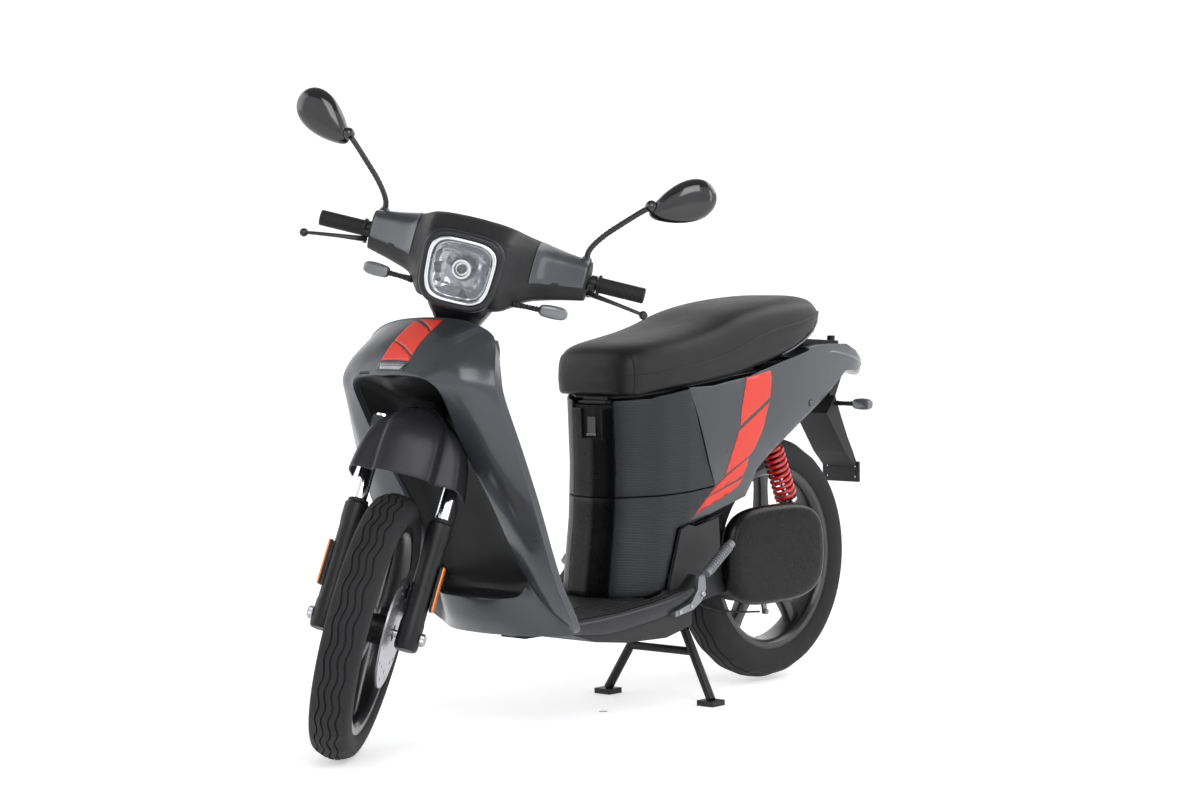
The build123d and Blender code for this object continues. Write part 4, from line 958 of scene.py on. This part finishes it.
neck_rows = []
for z, half, ahead, behind in ((892, 66, -428, -290), (872, 60, -420, -296), (852, 50, -402, -306),
                               (836, 42, -392, -316)):
    box = [(-half, ahead), (half, ahead), (half, behind), (-half, behind)]
    neck_rows.append([(x, y, z) for x, y in rounded(box, 26, 3)])
woven("cowl_neck", Net(neck_rows, closed=True), (3, 1), *BARS, "satin", angle=50)


def lamp_on_stalk(name, root, start, tip, where, body, node):
    """A ribbed stalk with a flat oval lamp, on both sides."""
    root, start, tip = (np.array(point, float) for point in (root, start, tip))
    along = (tip - start) / np.linalg.norm(tip - start)
    side = np.cross(along, [0, 0, 1])
    side /= np.linalg.norm(side)
    up = np.cross(side, along)
    rows = []
    for reach, size in ((0, 0.3), (2, 0.66), (8, 0.9), (28, 1.04), (46, 0.96), (54, 0.7), (57, 0.3)):
        share = reach / 57 * np.linalg.norm(tip - start)
        section = rounded([(-9, -13), (9, -13), (9, 13), (-9, 13)], 9, 5) * size
        rows.append([start + along * share + side * a + up * b for a, b in section])
    rows = np.array(rows)
    for mirror_x, word in SIDES:
        turn = [mirror_x, 1, 1]
        woven(name + "_lamp_" + word, Net(rows * turn, closed=True), (3, 1), where, body, "indicator",
              caps=True, angle=60, stands_for=[node] if mirror_x > 0 else ())
        swept(name + "_stalk_" + word, [root * turn, (root + start) / 2 * turn, (start + along * 3) * turn],
              [7, 5, 5.5], where, body, "rubber", steps=12, wave=lambda t: 0.9 * math.sin(t * 60))
        woven(name + "_shell_" + word, Net(rows * turn + [0, 2.0, 0], closed=True), (3, 1), where, body,
              "gloss", caps=True, angle=60)


lamp_on_stalk("front_signal", (104, -375, 906), (156, -357, 905), (212, -340, 905), *BARS, "front_indicators")
lamp_on_stalk("rear_signal", (28, 872, 622), (100, 866, 622), (154, 860, 622), *CHASSIS, "rear_indicators")

MIRROR_TURN = (math.cos(math.radians(202)), math.sin(math.radians(202)))


def grip_profile():
    """A grip with an end flange and raised ribs."""
    profile = [(0, 12), (0, 20), (5, 20.5), (6, 16)]
    for rib in range(22):
        x = 9 + rib * 4
        profile += [(x, 16.2), (x + 2.6, 16.2), (x + 3.0, 15.4), (x + 3.8, 15.4)]
    return profile + [(97.5, 16), (98, 14), (98, 5)]


spun("left_grip_ribs", grip_profile(), (246, -222, 966), (1, 0, 0), *BARS, "rubber", stands_for=["left_grip"])
spun("throttle_grip_ribs", grip_profile(), (-246, -222, 966), (-1, 0, 0), "bars", "throttle", "rubber",
     stands_for=["throttle_grip"])
for side, word in SIDES:
    lever = [(side * 236, -262, 949), (side * 256, -276, 948), (side * 290, -286, 945),
             (side * 330, -290, 940), (side * 352, -292, 937)]
    swept("lever_blade_" + word, lever, [8, 6.5, 5.2, 4.6, 4.4], "bars", "brake_lever_" + word, "steel_al",
          flat=(1.15, 0.8), stands_for=["brake_lever_" + word])
    spun("lever_ball_" + word, ball_profile(9), (side * 357, -293, 936), (1, 0, 0), "bars",
         "brake_lever_" + word, "steel_al", sides=24)
    arm = [(side * 214, -238, 1004), (side * 216, -240, 1034), (side * 238, -242, 1068),
           (side * 268, -245, 1100), (side * 300, -247, 1132), (side * 318, -247, 1148)]
    swept("mirror_arm_" + word, arm, [6.5, 5.5, 5.5, 5.5, 5.5, 6.5], *BARS, "steel_al", steps=14,
          wave=lambda t: 0.7 * max(0.0, math.sin(t * 150)) if t < 0.85 else 0.0,
          stands_for=["mirror_arms"] if side > 0 else ())
    spun("mirror_nut_" + word, [(-4, 9), (0, 11), (10, 11), (14, 8)], (side * 214, -238, 1004), (0, 0, 1),
         *BARS, "steel_al", sides=6, angle=25)
    rows = []
    tilt = Matrix.Rotation(math.radians(10), 3, "Z") @ Matrix.Rotation(math.radians(-10), 3, "Y")
    for depth, size in ((-24, 0.004), (-23.8, 0.12), (-23, 0.35), (-19, 0.66), (-12, 0.87), (-4, 0.97),
                        (3, 1.0), (5, 0.97), (3, 0.93)):
        ring = []
        for c, s in round_points(40):
            reach = 68 * size * c * (1 + 0.10 * max(0.0, c) ** 4)
            spread = 41 * size * s * (1 - 0.26 * c)
            local = Vector((reach * MIRROR_TURN[0] - spread * MIRROR_TURN[1], depth,
                            reach * MIRROR_TURN[1] + spread * MIRROR_TURN[0]))
            spot = tilt @ local
            ring.append((side * (spot.x + 381), spot.y - 233, spot.z + 1170))
        rows.append(ring)
    woven("mirror_shell_" + word, Net(rows, closed=True), (3, 1), "bars", "mirror_head_" + word, "gloss",
          stands_for=["mirror_head_" + word], inside=(side * 381, -233, 1180))
    rim = np.array(rows[-1])
    glass = [rim.mean(0) + (rim - rim.mean(0)) * share for share in (1.02, 0.5, 0.01)]
    woven("mirror_glass_" + word, Net(glass, closed=True), (1, 1), "bars", "mirror_head_" + word, "glass",
          inside=(side * 381, -300, 1180))
    spun("mirror_socket_" + word, ball_profile(13), (side * 319, -247, 1149), (0, 0, 1), "bars",
         "mirror_head_" + word, "gloss", sides=24)

# ---- rear end ----
def oval(grow, x, sides=80):
    ring = []
    for c, s in round_points(sides):
        ring.append((x, 500 + (172 + grow) * squared(c, 0.62), 308 + (109 + grow) * squared(s, 0.62)))
    return ring


OVAL_RINGS = [(-2, 130), (0, 136), (0, 146), (-3, 154), (-10, 160), (-22, 162), (-30, 162.5), (-60, 163),
              (-105, 163)]
woven("oval_cover", Net([oval(grow, x) for grow, x in OVAL_RINGS], closed=True), (3, 1), "body", "swingarm",
      "cover", caps=True, angle=60, stands_for=["belt_cover"])

top = np.array([100.0, 540.0, 565.0])
eye = np.array([100.0, 618.0, 390.0])
down = (eye - top) / np.linalg.norm(eye - top)
across = np.array([1.0, 0.0, 0.0])
over = np.cross(down, across)
coil = []
TURNS = 9.5
for step in range(int(TURNS * 24) + 1):
    share = step / (TURNS * 24)
    angle = 2 * math.pi * share * TURNS
    coil.append(top + down * (26.5 + 125 * share) + 22 * (across * math.cos(angle) + over * math.sin(angle)))
spring = swept("spring_coils", coil, [4.2] * len(coil), "body", "shock_upper", "spring", steps=1, sides=12,
               stands_for=["shock_spring"])
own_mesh(spring)

PEG_RISE = math.radians(33.5)
for side, hand in SIDES:
    body = JOINTS["footpeg_%s_fold" % hand]["child"]
    profile = [(8, 9.2)]
    for rib in range(12):
        profile += [(10 + rib * 7, 9.2), (11 + rib * 7, 11.4), (14 + rib * 7, 11.4), (15 + rib * 7, 9.2)]
    spun("peg_grip_" + hand, profile + [(98, 9.2)], (side * 200, 188, 296),
         (0, math.cos(PEG_RISE), math.sin(PEG_RISE)), "body", body, "cast", sides=24, angle=25)
    for index, (y, z, radius) in enumerate(((112, 221, 5), (150, 229, 4), (188, 252, 6))):
        bolt("bracket_bolt_%s_%d" % (hand, index), (side * 190.2, y, z), (side, 0, 0), radius, *CHASSIS)

# ---- studio ----
FLOOR_GLOW = 0.42


def make_floor():
    """A round pale floor that curves up into a wall, far outside every view's camera."""
    flat, radius, height, sides = 11.0, 4.0, 12.0, 96
    profile = [(0.01, 0.0), (flat, 0.0)]
    profile += [(flat + radius * math.sin(a * math.pi / 24),
                 radius * (1 - math.cos(a * math.pi / 24))) for a in range(1, 13)]
    profile.append((flat + radius, height))
    points = [(reach * c, reach * s, z) for reach, z in profile for c, s in round_points(sides)]
    mesh = bpy.data.meshes.new("studio_floor")
    mesh.from_pydata(points, [], quads(len(profile), sides))
    mesh.polygons.foreach_set("use_smooth", [True] * len(mesh.polygons))
    floor = bpy.data.objects.new("studio_floor", mesh)
    bpy.context.scene.collection.objects.link(floor)
    pale = finish("pale_floor", (0.84, 0.84, 0.85), 0.7, tone=0.01, grain=(50, 0.01), edge_highlight=0.0)
    shader = pale.node_tree.nodes["Principled BSDF"]
    shader.inputs["Emission Color"].default_value = (1.0, 1.0, 1.0, 1.0)
    shader.inputs["Emission Strength"].default_value = FLOOR_GLOW
    mesh.materials.append(pale)


def make_light(name, place, size, power, target=(0, 0, 0.6)):
    data = bpy.data.lights.new(name, "AREA")
    data.shape = "RECTANGLE"
    data.size = size[0]
    data.size_y = size[1]
    data.energy = power
    light = bpy.data.objects.new(name, data)
    light.location = place
    light.rotation_euler = (Vector(target) - Vector(place)).to_track_quat("-Z", "Y").to_euler()
    bpy.context.scene.collection.objects.link(light)


CAMERA_AT = (3.8922, -4.4330, 0.9703)
CAMERA_FORWARD = (-0.6521, 0.7564, -0.0513)
CAMERA_ROLL = math.radians(-0.6131)
CAMERA_LENS = 84.1
CAMERA_SENSOR = 36.0
WORLD_LIGHT = 0.34


def make_camera():
    data = bpy.data.cameras.new("camera")
    data.lens = CAMERA_LENS
    data.sensor_width = CAMERA_SENSOR
    camera = bpy.data.objects.new("camera", data)
    forward = Vector(CAMERA_FORWARD).normalized()
    right = forward.cross(Vector((0, 0, 1))).normalized()
    up = right.cross(forward)
    rolled_right = right * math.cos(CAMERA_ROLL) + up * math.sin(CAMERA_ROLL)
    rolled_up = up * math.cos(CAMERA_ROLL) - right * math.sin(CAMERA_ROLL)
    turn = Matrix((rolled_right, rolled_up, -forward)).transposed().to_4x4()
    camera.matrix_world = Matrix.Translation(Vector(CAMERA_AT) + Vector(SHIFT)) @ turn
    bpy.context.scene.collection.objects.link(camera)
    bpy.context.scene.camera = camera


make_floor()
make_light("key", (3.5, -3.0, 4.0), (3.5, 3.5), 150)
make_light("fill", (-4.0, -3.0, 3.0), (4.0, 4.0), 60)
make_light("rear", (1.5, 4.0, 3.5), (4.0, 3.0), 85)
make_light("side", (5.0, 1.5, 1.6), (1.2, 3.0), 30)
world = bpy.data.worlds.new("studio")
world.use_nodes = True
background = world.node_tree.nodes["Background"]
background.inputs["Color"].default_value = (1.0, 1.0, 1.0, 1.0)
background.inputs["Strength"].default_value = WORLD_LIGHT
bpy.context.scene.world = world
bpy.context.scene.view_settings.view_transform = "Standard"
make_camera()
